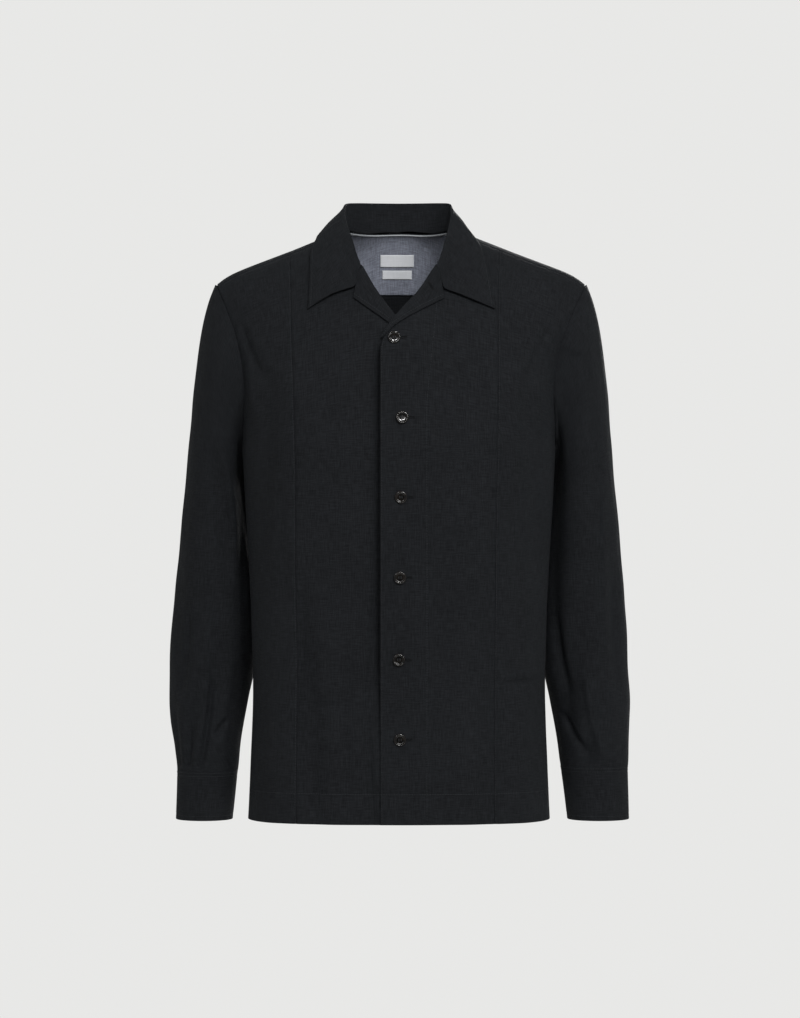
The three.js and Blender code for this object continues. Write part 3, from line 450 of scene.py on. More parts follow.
# Places from low to high whose outermost ones are close together, and the cloth's thickness there
def softSteps(count, low, high, edge, both=True):
    rounding = np.array([0, 0.15, 0.45])
    shares = np.concatenate([[0.3], np.sqrt(1 - (1 - rounding[1:]) ** 2)])
    first = low + edge * rounding
    last = high - edge * rounding[::-1]
    middle = np.linspace(low + edge, high - edge, count)
    ones = np.ones(count)
    if both:
        return np.concatenate([first, middle, last]), np.concatenate([shares, ones, shares[::-1]])
    return np.concatenate([first, np.linspace(low + edge, high, count)]), np.concatenate([shares, ones])


# The turned-in allowance of a seam before a piece's first place: its places, shares and how deep it lies
tuck = {"reach": np.array([-4.5, -4.3, -2.5, -0.7, -0.15]), "share": 0.25, "drop": 0.78}


def tuckIn(places, shares, way):
    reach = tuck["reach"]
    before = np.concatenate([places[0] + way * reach, places])
    depth = np.concatenate([np.full(len(reach), tuck["drop"]), np.zeros(len(places))])
    return before, np.concatenate([np.full(len(reach), tuck["share"]), shares]), depth


# The two faces of a wall whose outer face lies at lift top; place(lift) gives a grid of points
def twoFaces(place, top, thickness, rowShares, columnShares):
    half = thickness / 2 * np.minimum(rowShares[:, None], columnShares[None, :])
    return place(top - thickness / 2 + half), place(top - thickness / 2 - half)


def gridNormals(points, wrap=False):
    down = np.gradient(points, axis=0)
    if wrap:
        core = points[:, :-1]
        across = np.roll(core, -1, 1) - np.roll(core, 1, 1)
        across = np.concatenate([across, across[:, :1]], 1)
    else:
        across = np.gradient(points, axis=1)
    return unit(np.cross(down, across))


def lengths(points, axis):
    size = np.linalg.norm(np.diff(points, axis=axis), axis=-1)
    return np.insert(np.cumsum(size, axis=axis), 0, 0, axis=axis)


# Cloth places in metres: across from the middle column by arc length, and down the middle column
def clothPlaces(points):
    across = lengths(points, 1)
    middle = points.shape[1] // 2
    across = across - across[:, middle : middle + 1]
    down = lengths(points, 0)[:, middle : middle + 1] + 0 * across
    return np.stack([across, down], -1) * mm


def meshFrom(name, vertices, quads, uv=None):
    a, b, c, d = (vertices[quads[:, k]] for k in range(4))
    volume = np.sum(a * np.cross(b, c)) + np.sum(a * np.cross(c, d))
    if volume < 0:
        quads = quads[:, ::-1]
        uv = None if uv is None else uv[:, ::-1]
    mesh = bpy.data.meshes.new(name)
    mesh.vertices.add(len(vertices))
    mesh.vertices.foreach_set("co", (vertices * mm).astype(np.float32).ravel())
    mesh.loops.add(quads.size)
    mesh.loops.foreach_set("vertex_index", quads.astype(np.int32).ravel())
    mesh.polygons.add(len(quads))
    mesh.polygons.foreach_set("loop_start", np.arange(0, quads.size, 4, dtype=np.int32))
    if uv is not None:
        layer = mesh.uv_layers.new(name="cloth")
        layer.data.foreach_set("uv", uv.astype(np.float32).ravel())
    mesh.update(calc_edges=True)
    mesh.validate()
    mesh.shade_smooth()
    return mesh


def addPiece(name, mesh, material, slotName, nodes=()):
    piece = bpy.data.objects.new(name, mesh)
    mesh.materials.append(material)
    scene.collection.objects.link(piece)
    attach(piece, "root")
    if nodes:
        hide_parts(*nodes)
    return piece


# A closed wall between an outer and an inner grid; a wrapped one repeats its first column at its end
def wallPiece(name, faces, material, slotName, wrap=False, grain=None):
    outer, inner = faces
    rows, columns = outer.shape[:2]
    wide = columns - 1 if wrap else columns
    i, j = (a.ravel() for a in np.meshgrid(np.arange(rows - 1), np.arange(columns - 1), indexing="ij"))

    def at(layer, i, j):
        return (layer * rows + i) * columns + j

    def quad(*corners):
        return np.stack(np.broadcast_arrays(*corners), -1)

    r, c = np.arange(rows - 1), np.arange(columns - 1)
    last, end = columns - 1, rows - 1
    corners = [
        quad(at(0, i, j), at(0, i, j + 1), at(0, i + 1, j + 1), at(0, i + 1, j)),
        quad(at(1, i, j), at(1, i + 1, j), at(1, i + 1, j + 1), at(1, i, j + 1)),
        quad(at(0, 0, c), at(1, 0, c), at(1, 0, c + 1), at(0, 0, c + 1)),
        quad(at(0, end, c), at(0, end, c + 1), at(1, end, c + 1), at(1, end, c)),
    ]
    if not wrap:
        corners.append(quad(at(0, r, 0), at(0, r + 1, 0), at(1, r + 1, 0), at(1, r, 0)))
        corners.append(quad(at(0, r, last), at(1, r, last), at(1, r + 1, last), at(0, r + 1, last)))
    corners = np.concatenate(corners)
    if grain is None:
        places = clothPlaces((outer + inner) / 2).reshape(-1, 2)
    else:
        places = np.stack(np.broadcast_arrays(*grain), -1).reshape(-1, 2) * mm
    places = np.concatenate([places, places])
    quads = (corners // columns) * wide + (corners % columns) % wide
    vertices = np.concatenate([outer[:, :wide].reshape(-1, 3), inner[:, :wide].reshape(-1, 3)])
    mesh = meshFrom(name, vertices, quads, places[corners])
    return addPiece(name, mesh, material, slotName, [name])


def newMaterial(name):
    material = bpy.data.materials.new(name)
    material.use_nodes = True
    nodes, links = material.node_tree.nodes, material.node_tree.links
    return material, nodes, links, nodes["Principled BSDF"]


def mathNode(nodes, links, kind, a, b=None):
    node = nodes.new("ShaderNodeMath")
    node.operation = kind
    for k, value in enumerate((a, b)):
        if value is None:
            continue
        if isinstance(value, (int, float)):
            node.inputs[k].default_value = value
        else:
            links.new(value, node.inputs[k])
    return node.outputs[0]


# Colour from a tone between two places of it, and bump from a height
def colourFrom(nodes, links, tone, low, high, settings):
    ramp = nodes.new("ShaderNodeValToRGB")
    for element, place, colour in zip(ramp.color_ramp.elements, (low, high), ("dark", "light")):
        element.position = place
        element.color = (*settings[colour], 1)
    links.new(tone, ramp.inputs[0])
    links.new(ramp.outputs[0], nodes["Principled BSDF"].inputs["Base Color"])


def bumpFrom(nodes, links, height, strength, distance):
    bump = nodes.new("ShaderNodeBump")
    bump.inputs["Strength"].default_value = strength
    bump.inputs["Distance"].default_value = distance
    links.new(height, bump.inputs["Height"])
    links.new(bump.outputs[0], nodes["Principled BSDF"].inputs["Normal"])


# Plain weave: threads of the pitch cross over and under, and slubs thicken some of them
def weaveGroup():
    group = bpy.data.node_groups.new("plainWeave", "ShaderNodeTree")
    for socketName, kind in (("Places", "NodeSocketVector"), ("Pitch", "NodeSocketFloat")):
        group.interface.new_socket(socketName, in_out="INPUT", socket_type=kind)
    for socketName in ("Height", "Tone", "Slub", "Warp"):
        group.interface.new_socket(socketName, in_out="OUTPUT", socket_type="NodeSocketFloat")
    nodes, links = group.nodes, group.links
    inside = nodes.new("NodeGroupInput")
    outside = nodes.new("NodeGroupOutput")
    split = nodes.new("ShaderNodeSeparateXYZ")
    links.new(inside.outputs["Places"], split.inputs[0])

    def m(kind, a, b=None):
        return mathNode(nodes, links, kind, a, b)

    def threads(axis):
        return m("SINE", m("MULTIPLY", m("DIVIDE", split.outputs[axis], inside.outputs["Pitch"]), math.pi))

    def slubs(xScale, yScale, w):
        stretch = nodes.new("ShaderNodeMapping")
        stretch.inputs["Scale"].default_value = (xScale, yScale, 1)
        stretch.inputs["Location"].default_value = (w, w * 2, 0)
        links.new(inside.outputs["Places"], stretch.inputs["Vector"])
        noise = nodes.new("ShaderNodeTexNoise")
        noise.noise_dimensions = "2D"
        noise.inputs["Scale"].default_value = 1
        noise.inputs["Detail"].default_value = 3
        noise.inputs["Roughness"].default_value = 0.6
        links.new(stretch.outputs[0], noise.inputs["Vector"])
        return noise.outputs["Fac"]

    warp, weft = threads(0), threads(1)
    cross = m("MULTIPLY", warp, weft)
    bumps = m("MULTIPLY", m("ABSOLUTE", warp), m("ABSOLUTE", weft))
    weftSlub = slubs(70, 820, 3.1)
    warpSlub = slubs(820, 60, 7.7)
    slub = m("MULTIPLY", m("ADD", weftSlub, warpSlub), 0.5)
    woven = m("ADD", bumps, m("MULTIPLY", cross, 0.35))
    links.new(m("ADD", woven, m("MULTIPLY", slub, 1.6)), outside.inputs["Height"])
    tone = m("ADD", m("MULTIPLY", bumps, 0.35), m("MULTIPLY", m("SUBTRACT", slub, 0.5), 1.7))
    links.new(tone, outside.inputs["Tone"])
    links.new(slub, outside.inputs["Slub"])
    links.new(m("ADD", m("MULTIPLY", cross, 0.5), 0.5), outside.inputs["Warp"])
    return group


weave = weaveGroup()


# A woven finish: tone from the weave between two colours, bump from its height
def clothMaterial(name, settings):
    material, nodes, links, shader = newMaterial(name)
    uvMap = nodes.new("ShaderNodeUVMap")
    uvMap.uv_map = "cloth"
    group = nodes.new("ShaderNodeGroup")
    group.node_tree = weave
    group.inputs["Pitch"].default_value = settings["pitch"]
    links.new(uvMap.outputs[0], group.inputs["Places"])
    cloud = nodes.new("ShaderNodeTexNoise")
    cloud.inputs["Scale"].default_value = settings["cloud"]
    cloud.inputs["Detail"].default_value = 2
    places = nodes.new("ShaderNodeTexCoord")
    links.new(places.outputs["Object"], cloud.inputs["Vector"])
    tone = mathNode(nodes, links, "ADD", group.outputs[settings.get("toneFrom", "Tone")],
                    mathNode(nodes, links, "MULTIPLY", cloud.outputs["Fac"], settings["cloudShare"]))
    colourFrom(nodes, links, tone, settings["low"], settings["high"], settings)
    rough = mathNode(nodes, links, "SUBTRACT", settings["rough"],
                     mathNode(nodes, links, "MULTIPLY", group.outputs["Slub"], settings["roughShare"]))
    links.new(rough, shader.inputs["Roughness"])
    bumpFrom(nodes, links, group.outputs["Height"], settings["bump"], settings["depth"])
    shader.inputs["Specular IOR Level"].default_value = settings["specular"]
    shader.inputs["Sheen Weight"].default_value = settings["sheen"]
    shader.inputs["Sheen Roughness"].default_value = settings["sheenRough"]
    shader.inputs["Sheen Tint"].default_value = (*settings["sheenTint"], 1)
    return material


linen = clothMaterial("blackLinen", {
    "pitch": 0.00062, "cloud": 14, "cloudShare": 0.25, "low": -0.25, "high": 0.85,
    "dark": (0.0044, 0.005, 0.006), "light": (0.0165, 0.0183, 0.0212),
    "rough": 0.95, "roughShare": 0.3, "bump": 0.55, "depth": 0.00035,
    "specular": 0.12, "sheen": 0.015, "sheenRough": 0.45, "sheenTint": (0.8, 0.9, 1.0),
})
chambray = clothMaterial("chambrayLining", {
    "pitch": 0.0005, "cloud": 20, "cloudShare": 0.2, "low": -0.3, "high": 0.8,
    "dark": (0.13, 0.14, 0.175), "light": (0.37, 0.395, 0.47),
    "rough": 0.9, "roughShare": 0.2, "bump": 0.5, "depth": 0.00025,
    "specular": 0.2, "sheen": 0.05, "sheenRough": 0.4, "sheenTint": (1, 1, 1),
})
cordCloth = clothMaterial("paleCord", {
    "pitch": 0.0006, "cloud": 30, "cloudShare": 0.1, "low": -0.2, "high": 0.8,
    "dark": (0.3, 0.32, 0.34), "light": (0.48, 0.5, 0.52),
    "rough": 0.85, "roughShare": 0.2, "bump": 0.5, "depth": 0.0003,
    "specular": 0.25, "sheen": 0.05, "sheenRough": 0.4, "sheenTint": (1, 1, 1),
})
labelCloth = clothMaterial("whiteLabel", {
    "pitch": 0.0004, "cloud": 30, "cloudShare": 0.1, "low": -0.4, "high": 0.9,
    "dark": (0.7, 0.72, 0.75), "light": (0.84, 0.85, 0.88),
    "rough": 0.75, "roughShare": 0.2, "bump": 0.35, "depth": 0.0002,
    "specular": 0.3, "sheen": 0.05, "sheenRough": 0.4, "sheenTint": (1, 1, 1),
})


# Twisted thread or moulded horn: a noise on the object's places between two colours, with bump
def solidMaterial(name, settings):
    material, nodes, links, shader = newMaterial(name)
    places = nodes.new("ShaderNodeTexCoord")
    stretch = nodes.new("ShaderNodeMapping")
    stretch.inputs["Scale"].default_value = settings["stretch"]
    links.new(places.outputs["Object"], stretch.inputs["Vector"])
    noise = nodes.new("ShaderNodeTexNoise")
    noise.inputs["Scale"].default_value = settings["scale"]
    noise.inputs["Detail"].default_value = 4
    noise.inputs["Distortion"].default_value = settings["swirl"]
    links.new(stretch.outputs[0], noise.inputs["Vector"])
    colourFrom(nodes, links, noise.outputs["Fac"], 0.4, 0.72, settings)
    rough = mathNode(nodes, links, "ADD", settings["rough"],
                     mathNode(nodes, links, "MULTIPLY", noise.outputs["Fac"], settings["roughShare"]))
    links.new(rough, shader.inputs["Roughness"])
    bumpFrom(nodes, links, noise.outputs["Fac"], settings["bump"], 0.0001)
    shader.inputs["Specular IOR Level"].default_value = settings["specular"]
    shader.inputs["Coat Weight"].default_value = settings["coat"]
    return material


def threadMaterial(name, dark, light, rough=0.6, specular=0.3):
    return solidMaterial(name, {
        "stretch": (1, 1, 1), "scale": 1500, "swirl": 0.2, "dark": dark, "light": light,
        "rough": rough, "roughShare": 0.2, "bump": 0.3, "specular": specular, "coat": 0,
    })


blackThread = threadMaterial("blackThread", (0.009, 0.0105, 0.012), (0.027, 0.031, 0.035))
# Thread of the buttonholes and the lapel slit, darker than the cloth: real black thread whose extra
# darkness is painted shade of the slit openings
darkThreadWithPaintedShade = threadMaterial("darkThreadWithPaintedShade", (0.0025, 0.003, 0.0035), (0.008, 0.009, 0.01), 0.7, 0.15)
whiteThread = threadMaterial("whiteThread", (0.5, 0.52, 0.56), (0.7, 0.72, 0.76))
horn = solidMaterial("darkHorn", {
    "stretch": (1, 1, 2.6), "scale": 90, "swirl": 1.4, "dark": (0.0025, 0.0025, 0.0025),
    "light": (0.013, 0.01, 0.008), "rough": 0.08, "roughShare": 0.1, "bump": 0.06,
    "specular": 0.5, "coat": 0.1,
})
print("stage: materials made")

thread = {"length": 2.4, "gap": 0.8, "radius": 0.24, "sides": 6}


# Points and normals at a distance in from one edge of a grid, found along each line that crosses it
def insetLine(points, normals, edge, distance):
    if edge in ("top", "bottom"):
        points, normals = points.transpose(1, 0, 2), normals.transpose(1, 0, 2)
    if edge in ("right", "bottom"):
        points, normals = points[:, ::-1], normals[:, ::-1]
    run = lengths(points, 1)
    j = np.clip((run < distance).sum(1), 1, points.shape[1] - 1)
    i = np.arange(len(points))
    t = ((distance - run[i, j - 1]) / (run[i, j] - run[i, j - 1]))[:, None]
    return mix(points[i, j - 1], points[i, j], t), unit(mix(normals[i, j - 1], normals[i, j], t))


# Spindles of thread: six-sided prisms that draw in and dip at both ends
def spindles(centres, way, up, length, radius):
    across = np.cross(way, up)
    sides = thread["sides"]
    turn = np.arange(sides) * 2 * math.pi / sides
    stations = np.array([-0.5, -0.3, 0.3, 0.5])
    girth = np.array([0.35, 1, 1, 0.35])
    dip = np.array([-1.1, 0, 0, -1.1])
    ring = np.cos(turn)[:, None, None] * across + np.sin(turn)[:, None, None] * up
    rows = [
        centres + way * (length * k) + up * (radius * d) + ring * (radius * g)
        for k, g, d in zip(stations, girth, dip)
    ]
    vertices = np.stack(rows, 0).transpose(2, 0, 1, 3)
    count = len(centres)
    k, j = (a.ravel() for a in np.meshgrid(np.arange(len(stations) - 1), np.arange(sides), indexing="ij"))
    j2 = (j + 1) % sides
    quads = np.stack([k * sides + j, k * sides + j2, (k + 1) * sides + j2, (k + 1) * sides + j], -1)
    ends = []
    for base, order in ((0, 1), ((len(stations) - 1) * sides, -1)):
        ends.append([base + q for q in (0, 1, 2, 3)][::order])
        ends.append([base + q for q in (0, 3, 4, 5)][::order])
    quads = np.concatenate([quads, np.array(ends)[:, ::-1]])
    offset = (np.arange(count) * len(stations) * sides)[:, None, None]
    return vertices.reshape(-1, 3), (quads[None] + offset).reshape(-1, 4)


# Stitches at even steps along a line, each lying in a small dip
def stitchRow(line, normals, lift=0.12):
    run = np.insert(np.cumsum(np.linalg.norm(np.diff(line, axis=0), axis=1)), 0, 0)
    pitch = thread["length"] + thread["gap"]
    at = np.arange(pitch / 2, run[-1] - pitch / 2, pitch)
    point = np.stack([np.interp(at, run, line[:, k]) for k in range(3)], -1)
    ahead = np.stack([np.interp(at + 0.5, run, line[:, k]) for k in range(3)], -1)
    up = unit(np.stack([np.interp(at, run, normals[:, k]) for k in range(3)], -1))
    way = unit(ahead - point)
    up = unit(up - way * np.sum(up * way, -1, keepdims=True))
    return spindles(point + up * lift, way, up, thread["length"], thread["radius"])


def threadPiece(name, parts, material=None, slotName="linen"):
    vertices, quads, base = [], [], 0
    for v, q in parts:
        vertices.append(v)
        quads.append(q + base)
        base += len(v)
    mesh = meshFrom(name, np.concatenate(vertices), np.concatenate(quads))
    return addPiece(name, mesh, material or blackThread, slotName)


fronts = {"centreRows": 216, "centreColumns": 64, "sideRows": 190, "sideColumns": 46}
yokeFrontS = -22
laid = {}  # the outer faces and outward normals that stitches are laid on


def remember(name, faces):
    normals = gridNormals(faces[0])
    middle = (faces[0].shape[0] // 2, faces[0].shape[1] // 2)
    if np.dot(normals[middle], faces[0][middle] - faces[1][middle]) < 0:
        normals = -normals
    laid[name] = (faces[0], normals)


# A wall of cloth whose outer face lies at lift top; stitches lie on its inner face where inside is set
def clothWall(name, place, top, thickness, shares, finish=(linen, "linen"), grain=None, inside=False):
    faces = twoFaces(place, top, thickness, *shares)
    remember(name, faces[::-1] if inside else faces)
    return wallPiece(name, faces, *finish, grain=grain)


# A wall on both sides of a folded sheet of points; way is the sign of y that its last turn faces
def foldedWall(name, points, rowShares, thickness, way):
    columnShares = np.ones(points.shape[1])
    columnShares[[0, 1, 2, -3, -2, -1]] = [0.3, 0.53, 0.83, 0.83, 0.53, 0.3]
    normals = gridNormals(points)
    if normals[len(points) // 2, -8][1] * way < 0:
        normals = -normals
    half = thickness / 2 * np.minimum(rowShares[:, None], columnShares[None, :])[..., None]
    faces = (points + normals * half, points - normals * half)
    remember(name, faces)
    return wallPiece(name, faces, linen, "linen")


# Rows of a front from the hem to the yoke's seam, and the allowance that lies under the yoke
def frontRows(count):
    s, shares = softSteps(count, -body["hem"], yokeFrontS - 2 * seamGap, wall["linen"] / 2)
    s, shares, drop = tuckIn(s[::-1], shares[::-1], -1)
    return s[::-1], shares[::-1], drop[::-1]


def frontCentre(side):
    hand = handOf(side)
    s, rowShares, rowDrop = frontRows(fronts["centreRows"])
    t, columnShares = softSteps(fronts["centreColumns"], 0, 1, 0.005)
    inner = along(neckLine[hand], "s", "x", s)
    outer = along(seams[hand], "s", "x", s) - seamGap / 2
    x = mix(inner[:, None], outer[:, None], t[None, :])

    def place(lift):
        return frontAt(side, x, s[:, None], lift - rowDrop[:, None])

    shares, grain = (rowShares, columnShares), (side * x, s[:, None])
    return clothWall(f"front_centre_{hand}", place, 0, wall["linen"], shares, grain=grain)


def frontSide(side):
    hand = handOf(side)
    s, rowShares, rowDrop = frontRows(fronts["sideRows"])
    t, columnShares = softSteps(fronts["sideColumns"], 0, 1, 0.005)
    seamX = along(seams[hand], "s", "x", s) + seamGap / 2
    tucked = np.abs(bodyShare(side * (seamX[:, None] + tuck["reach"][None, :]), s[:, None]))
    start = np.abs(bodyShare(side * seamX, s))
    f = np.concatenate([tucked, mix(start[:, None], 1 - body["sideSeamShare"], t[None, :])], 1)
    columnDrop = np.where(np.arange(f.shape[1]) < len(tuck["reach"]), tuck["drop"], 0)
    columnShares = np.concatenate([np.full(len(tuck["reach"]), tuck["share"]), columnShares])

    def place(lift):
        return bodyAt(side * f, s[:, None], lift - np.maximum(rowDrop[:, None], columnDrop[None, :]))

    return clothWall(f"front_side_{hand}", place, 0, wall["linen"], (rowShares, columnShares))


for side in (-1, 1):
    frontCentre(side)
    frontSide(side)
print("stage: fronts made")

yoke = {
    "backS": 152.5,
    "sag": 8,
    "corner": 0.5,
    "neckX": 74,
    "neckBackS": 65.5,
    "rows": 26,
    "turns": 40,
    "sideTurns": 16,
    "liningReach": 0.8,
    "lining": (0.035, 0.984),
}
back = {"rows": 150, "columns": 110}
yokeSeamMiddle = float(bodyForm(0.0, float(yoke["backS"]))[2])


# The level back seam of the yoke: the distance s that brings each share to its height
def yokeSeamS(f):
    near, far = np.full(np.shape(f), 20.0), np.full(np.shape(f), 300.0)
    for _ in range(30):
        s = (near + far) / 2
        above = bodyForm(f, s)[..., 2] > yokeSeamMiddle - yoke["sag"] * f * f
        near, far = np.where(above, s, near), np.where(above, far, s)
    return (near + far) / 2


def backPiece():
    r, rowShares = softSteps(back["rows"], 0, 1, 0.0012)
    most = 1 - body["sideSeamShare"]
    f, columnShares = softSteps(back["columns"], -most, most, 0.003)
    s = mix(yokeSeamS(f)[None, :] + seamGap, body["hem"], r[:, None] ** 1.1)
    s = np.concatenate([s[:1] + tuck["reach"][:, None], s])
    rowDrop = np.where(np.arange(len(s)) < len(tuck["reach"]), tuck["drop"], 0)
    rowShares = np.concatenate([np.full(len(tuck["reach"]), tuck["share"]), rowShares])

    def place(lift):
        return bodyAt(f[None, :], s, lift - rowDrop[:, None])

    return clothWall("back", place, 0, wall["linen"], (rowShares, columnShares))


# The yoke is a fan of lines from the neck (v = 0) to its outer edge (v = 1), k round the neck
def yokePlaces(k, v):
    size = np.abs(k)
    q = np.cos(size * math.pi / 2)
    innerX = np.sign(k) * yoke["neckX"] * np.sqrt(1 - q**2.5)
    innerS = mix(yokeFrontS, yoke["neckBackS"], q**1.35)
    share = np.sign(k) * np.minimum(1, size / yoke["corner"])
    past = np.maximum(0, size - yoke["corner"]) / (1 - yoke["corner"])
    outerS = mix(yokeSeamS(share), yokeFrontS, past)
    outerX = bodyForm(share, outerS)[..., 0]
    s = mix(innerS[:, None], outerS[:, None], v[None, :])
    return mix(innerX[:, None], outerX[:, None], v[None, :]), s


def yokePoint(k, v, lift):
    x, s = yokePlaces(k, v)
    return bodyAtX(x, s, lift)


def yokeTurns(reach, edge):
    side, shares = softSteps(yoke["sideTurns"], -reach, -yoke["corner"], edge, both=False)
    middle = np.linspace(-yoke["corner"], yoke["corner"], 2 * yoke["turns"] + 1)[1:-1]
    k = np.concatenate([side, middle, -side[::-1]])
    return k, np.concatenate([shares, np.ones(len(middle)), shares[::-1]])


def yokePiece(name, reach, low, high, top, thickness, finish, inside):
    k, rowShares = yokeTurns(reach, 0.004)
    v, columnShares = softSteps(yoke["rows"], low, high, 0.006)

    def place(lift):
        return yokePoint(k, v, lift)

    shares = (rowShares, columnShares)
    return clothWall(name, place, top, thickness, shares, finish, yokePlaces(k, v), inside)


backPiece()
yokePiece("yoke", 1, 0, 1, 0, wall["linen"], (linen, "linen"), False)
yokePiece(
    "yoke_lining", yoke["liningReach"], *yoke["lining"], -wall["linen"] - layGap, wall["lining"],
    (chambray, "lining"), True,
)
print("stage: back and yoke made")

sleeve = {
    "capZ": -300,
    "cuffSeamZ": -662,
    "cuffHemZ": -724,
    "leftLift": 6,
    "capRows": 64,
    "rows": 130,
    "columns": 120,
    "rings": table(
        "z outerRight innerRight outerLeft innerLeft midY deep",
        [
            (-300, 273, 193.5, 276, 193.5, 34, 64),
            (-368, 280.5, 188.5, 283, 188.5, 42, 62),
            (-470, 291, 182, 291.3, 182, 48, 60),
            (-530, 294.5, 185, 294, 185, 47, 58),
            (-572, 293.8, 193.5, 296, 193.5, 43, 55),
            (-600, 292, 198.5, 294.8, 198.7, 40, 53),
            (-635, 286.5, 203.3, 293.7, 203.7, 35, 49),
            (-662, 283.5, 205.8, 292.8, 207.4, 32, 45),
            (-725, 285, 212.5, 293.8, 215, 28, 42),
        ],
    ),
    "folds": [
        # side, turn, drift, top, bottom, width, depth
        (-1, 0.33, -0.1, -560, -675, 0.035, -7),
        (-1, 0.43, -0.03, -570, -675, 0.035, -4),
        (-1, 0.21, 0.08, -250, -420, 0.05, -6),
        (-1, 0.2, -0.03, -440, -640, 0.05, -5),
        (-1, 0.62, 0.05, -520, -675, 0.04, -6),
        (-1, 0.8, -0.05, -260, -480, 0.06, -6),
        (1, 0.2, 0.1, -430, -600, 0.05, -6),
        (1, 0.24, 0.12, -560, -672, 0.04, -5),
        (1, 0.37, 0.02, -320, -560, 0.035, -4),
        (1, 0.62, 0.05, -520, -675, 0.04, -6),
        (1, 0.8, -0.05, -260, -480, 0.06, -6),
    ],
    "creases": [
        # side, face, from x and z, to x and z, width, depth
        (-1, -1, 222, -252, 207, -438, 6, 2.0),
        (-1, -1, 219, -327, 216.6, -345, 2.2, -0.9),
        (-1, -1, 236, -538, 256, -668, 4.2, -2.6),
        (-1, -1, 271, -596, 268, -652, 3.6, -0.7),
        (-1, -1, 217, -594, 232, -617, 3.6, -1.5),
        (-1, -1, 268, -451, 279, -570, 6, -1.5),
        (-1, -1, 248, -180, 252, -330, 14, -1.0),
        (-1, -1, 240, -430, 252, -540, 10, 1.2),
        (-1, -1, 206, -186, 198, -420, 11, -1.9),
        (-1, -1, 196, -390, 214, -640, 10, -1.5),
        (-1, -1, 284, -340, 292, -600, 9, -1.0),
        (1, -1, 206, -186, 198, -420, 11, -1.9),
        (1, -1, 196, -390, 218, -640, 10, -1.6),
        (1, -1, 284, -340, 291, -600, 9, -1.0),
        (1, -1, 257, -313, 257, -370, 2.0, -1.0),
        (1, -1, 209, -137, 231, -135, 3.6, -1.3),
        (1, -1, 250, -277, 261, -282, 2.8, -0.8),
        (1, -1, 198, -468, 213, -570, 6, -2.0),
        (1, -1, 204, -588, 240, -641, 4.5, -2.2),
        (1, -1, 236, -540, 262, -652, 5, 1.4),
        (1, -1, 245, -170, 250, -330, 14, -1.0),
        (-1, 1, 210, -300, 262, -345, 6, -2.0),
        (-1, 1, 216, -350, 270, -384, 6, -1.7),
        (-1, 1, 222, -405, 268, -430, 6, 1.5),
        (-1, 1, 236, -560, 246, -655, 4, -2.4),
        (-1, 1, 262, -570, 262, -655, 4, -1.8),
        (-1, 1, 240, -150, 255, -280, 12, -1.4),
        (1, 1, 212, -310, 264, -352, 6, -1.9),
        (1, 1, 218, -362, 272, -398, 6, -1.8),
        (1, 1, 224, -420, 270, -444, 6, 1.5),
        (1, 1, 240, -560, 250, -655, 4, -2.3),
        (1, 1, 266, -572, 268, -655, 4, -1.8),
        (1, 1, 242, -150, 256, -276, 12, -1.4),
    ],
}


def cuffSeam(side):
    return sleeve["cuffSeamZ"] + (sleeve["leftLift"] if side > 0 else 0)


def ringPoint(side, turn, z):
    turn, z = np.broadcast_arrays(np.asarray(turn, float), np.asarray(z, float))
    rings, hand = sleeve["rings"], handOf(side).capitalize()
    outer = along(rings, "z", "outer" + hand, z)
    inner = along(rings, "z", "inner" + hand, z)
    a = turn * 2 * math.pi
    x = side * ((outer + inner) / 2 - (outer - inner) / 2 * np.cos(a))
    y = along(rings, "z", "midY", z) - along(rings, "z", "deep", z) * np.sin(a)
    return np.stack([x, y, z], -1)


# The large folds of the solids, then the small creases of the front and back of the sleeve
def sleeveRelief(side, turn, p):
    x, z = np.abs(p[..., 0]), p[..., 2]
    total = np.zeros(z.shape)
    for own, middle, drift, top, bottom, width, depth in sleeve["folds"]:
        if own != side:
            continue
        height = (z - bottom) / (top - bottom)
        ends = smooth(-0.3, 0.25, height) * smooth(1.15, 0.6, height)
        off = turn - middle - drift * (height - 0.5)
        total += depth * ends * hump(off - np.round(off), width)
    facing = np.sin(2 * math.pi * turn)
    for face in (-1, 1):
        chosen = [row[2:] for row in sleeve["creases"] if row[0] == side and row[1] == face]
        total += smooth(0, 0.35, -face * facing) * sleeveGain * creaseDepth(chosen, x, z)
    if side > 0:
        total += 1.6 * smooth(0.9, 1, np.cos(2 * math.pi * turn)) * hump(z + 253, 16)
    return total + unevenness(160 * facing + 900 * side, z)


# The cap leaves the armhole outwards and meets the top ring: a cubic between the two with their ways
def sleeveCap(side, turn, w):
    s = mix(-290.0, 290.0, turn)
    hole = bodyForm(np.full(turn.shape, float(side)), s)
    top = (1 - np.cos(2 * math.pi * turn)) / 2
    sine = np.sin(2 * math.pi * turn)
    level = np.abs(sine)
    sideWay = side * (0.1 + 0.5 * level * (1 - top) + 0.3 * top)
    backWay = -0.3 * sine + 0.4 * (1 - top) ** 2 * (1 - level)
    leave = np.stack([sideWay, backWay, -0.9 + 0.22 * level], -1)
    leave = unit(leave)
    step = mix(armholeStep, wall["linen"] + armholeStep, top)
    start = hole + np.stack([side * step, 0 * top, 0 * top], -1)
    end = ringPoint(side, turn, float(sleeve["capZ"]))
    below = unit(ringPoint(side, turn, sleeve["capZ"] - 10.0) - end)
    reach = np.linalg.norm(end - start, axis=-1, keepdims=True)
    push = mix(45, 190, top)[..., None]
    w = w[..., None]
    held = (2 * w**3 - 3 * w**2 + 1) * start + (3 * w**2 - 2 * w**3) * end
    return held + (w**3 - 2 * w**2 + w) * push * leave + (w**3 - w**2) * reach * below


# The seam allowance of the sleeve lies turned in under the body's cloth, all round the armhole
def sleeveTuck(side, turn, inward):
    s = mix(-290.0, 290.0, turn)
    f = side * (1 - inward / 120)
    return bodyAt(f, s, -wall["linen"] - 0.25)


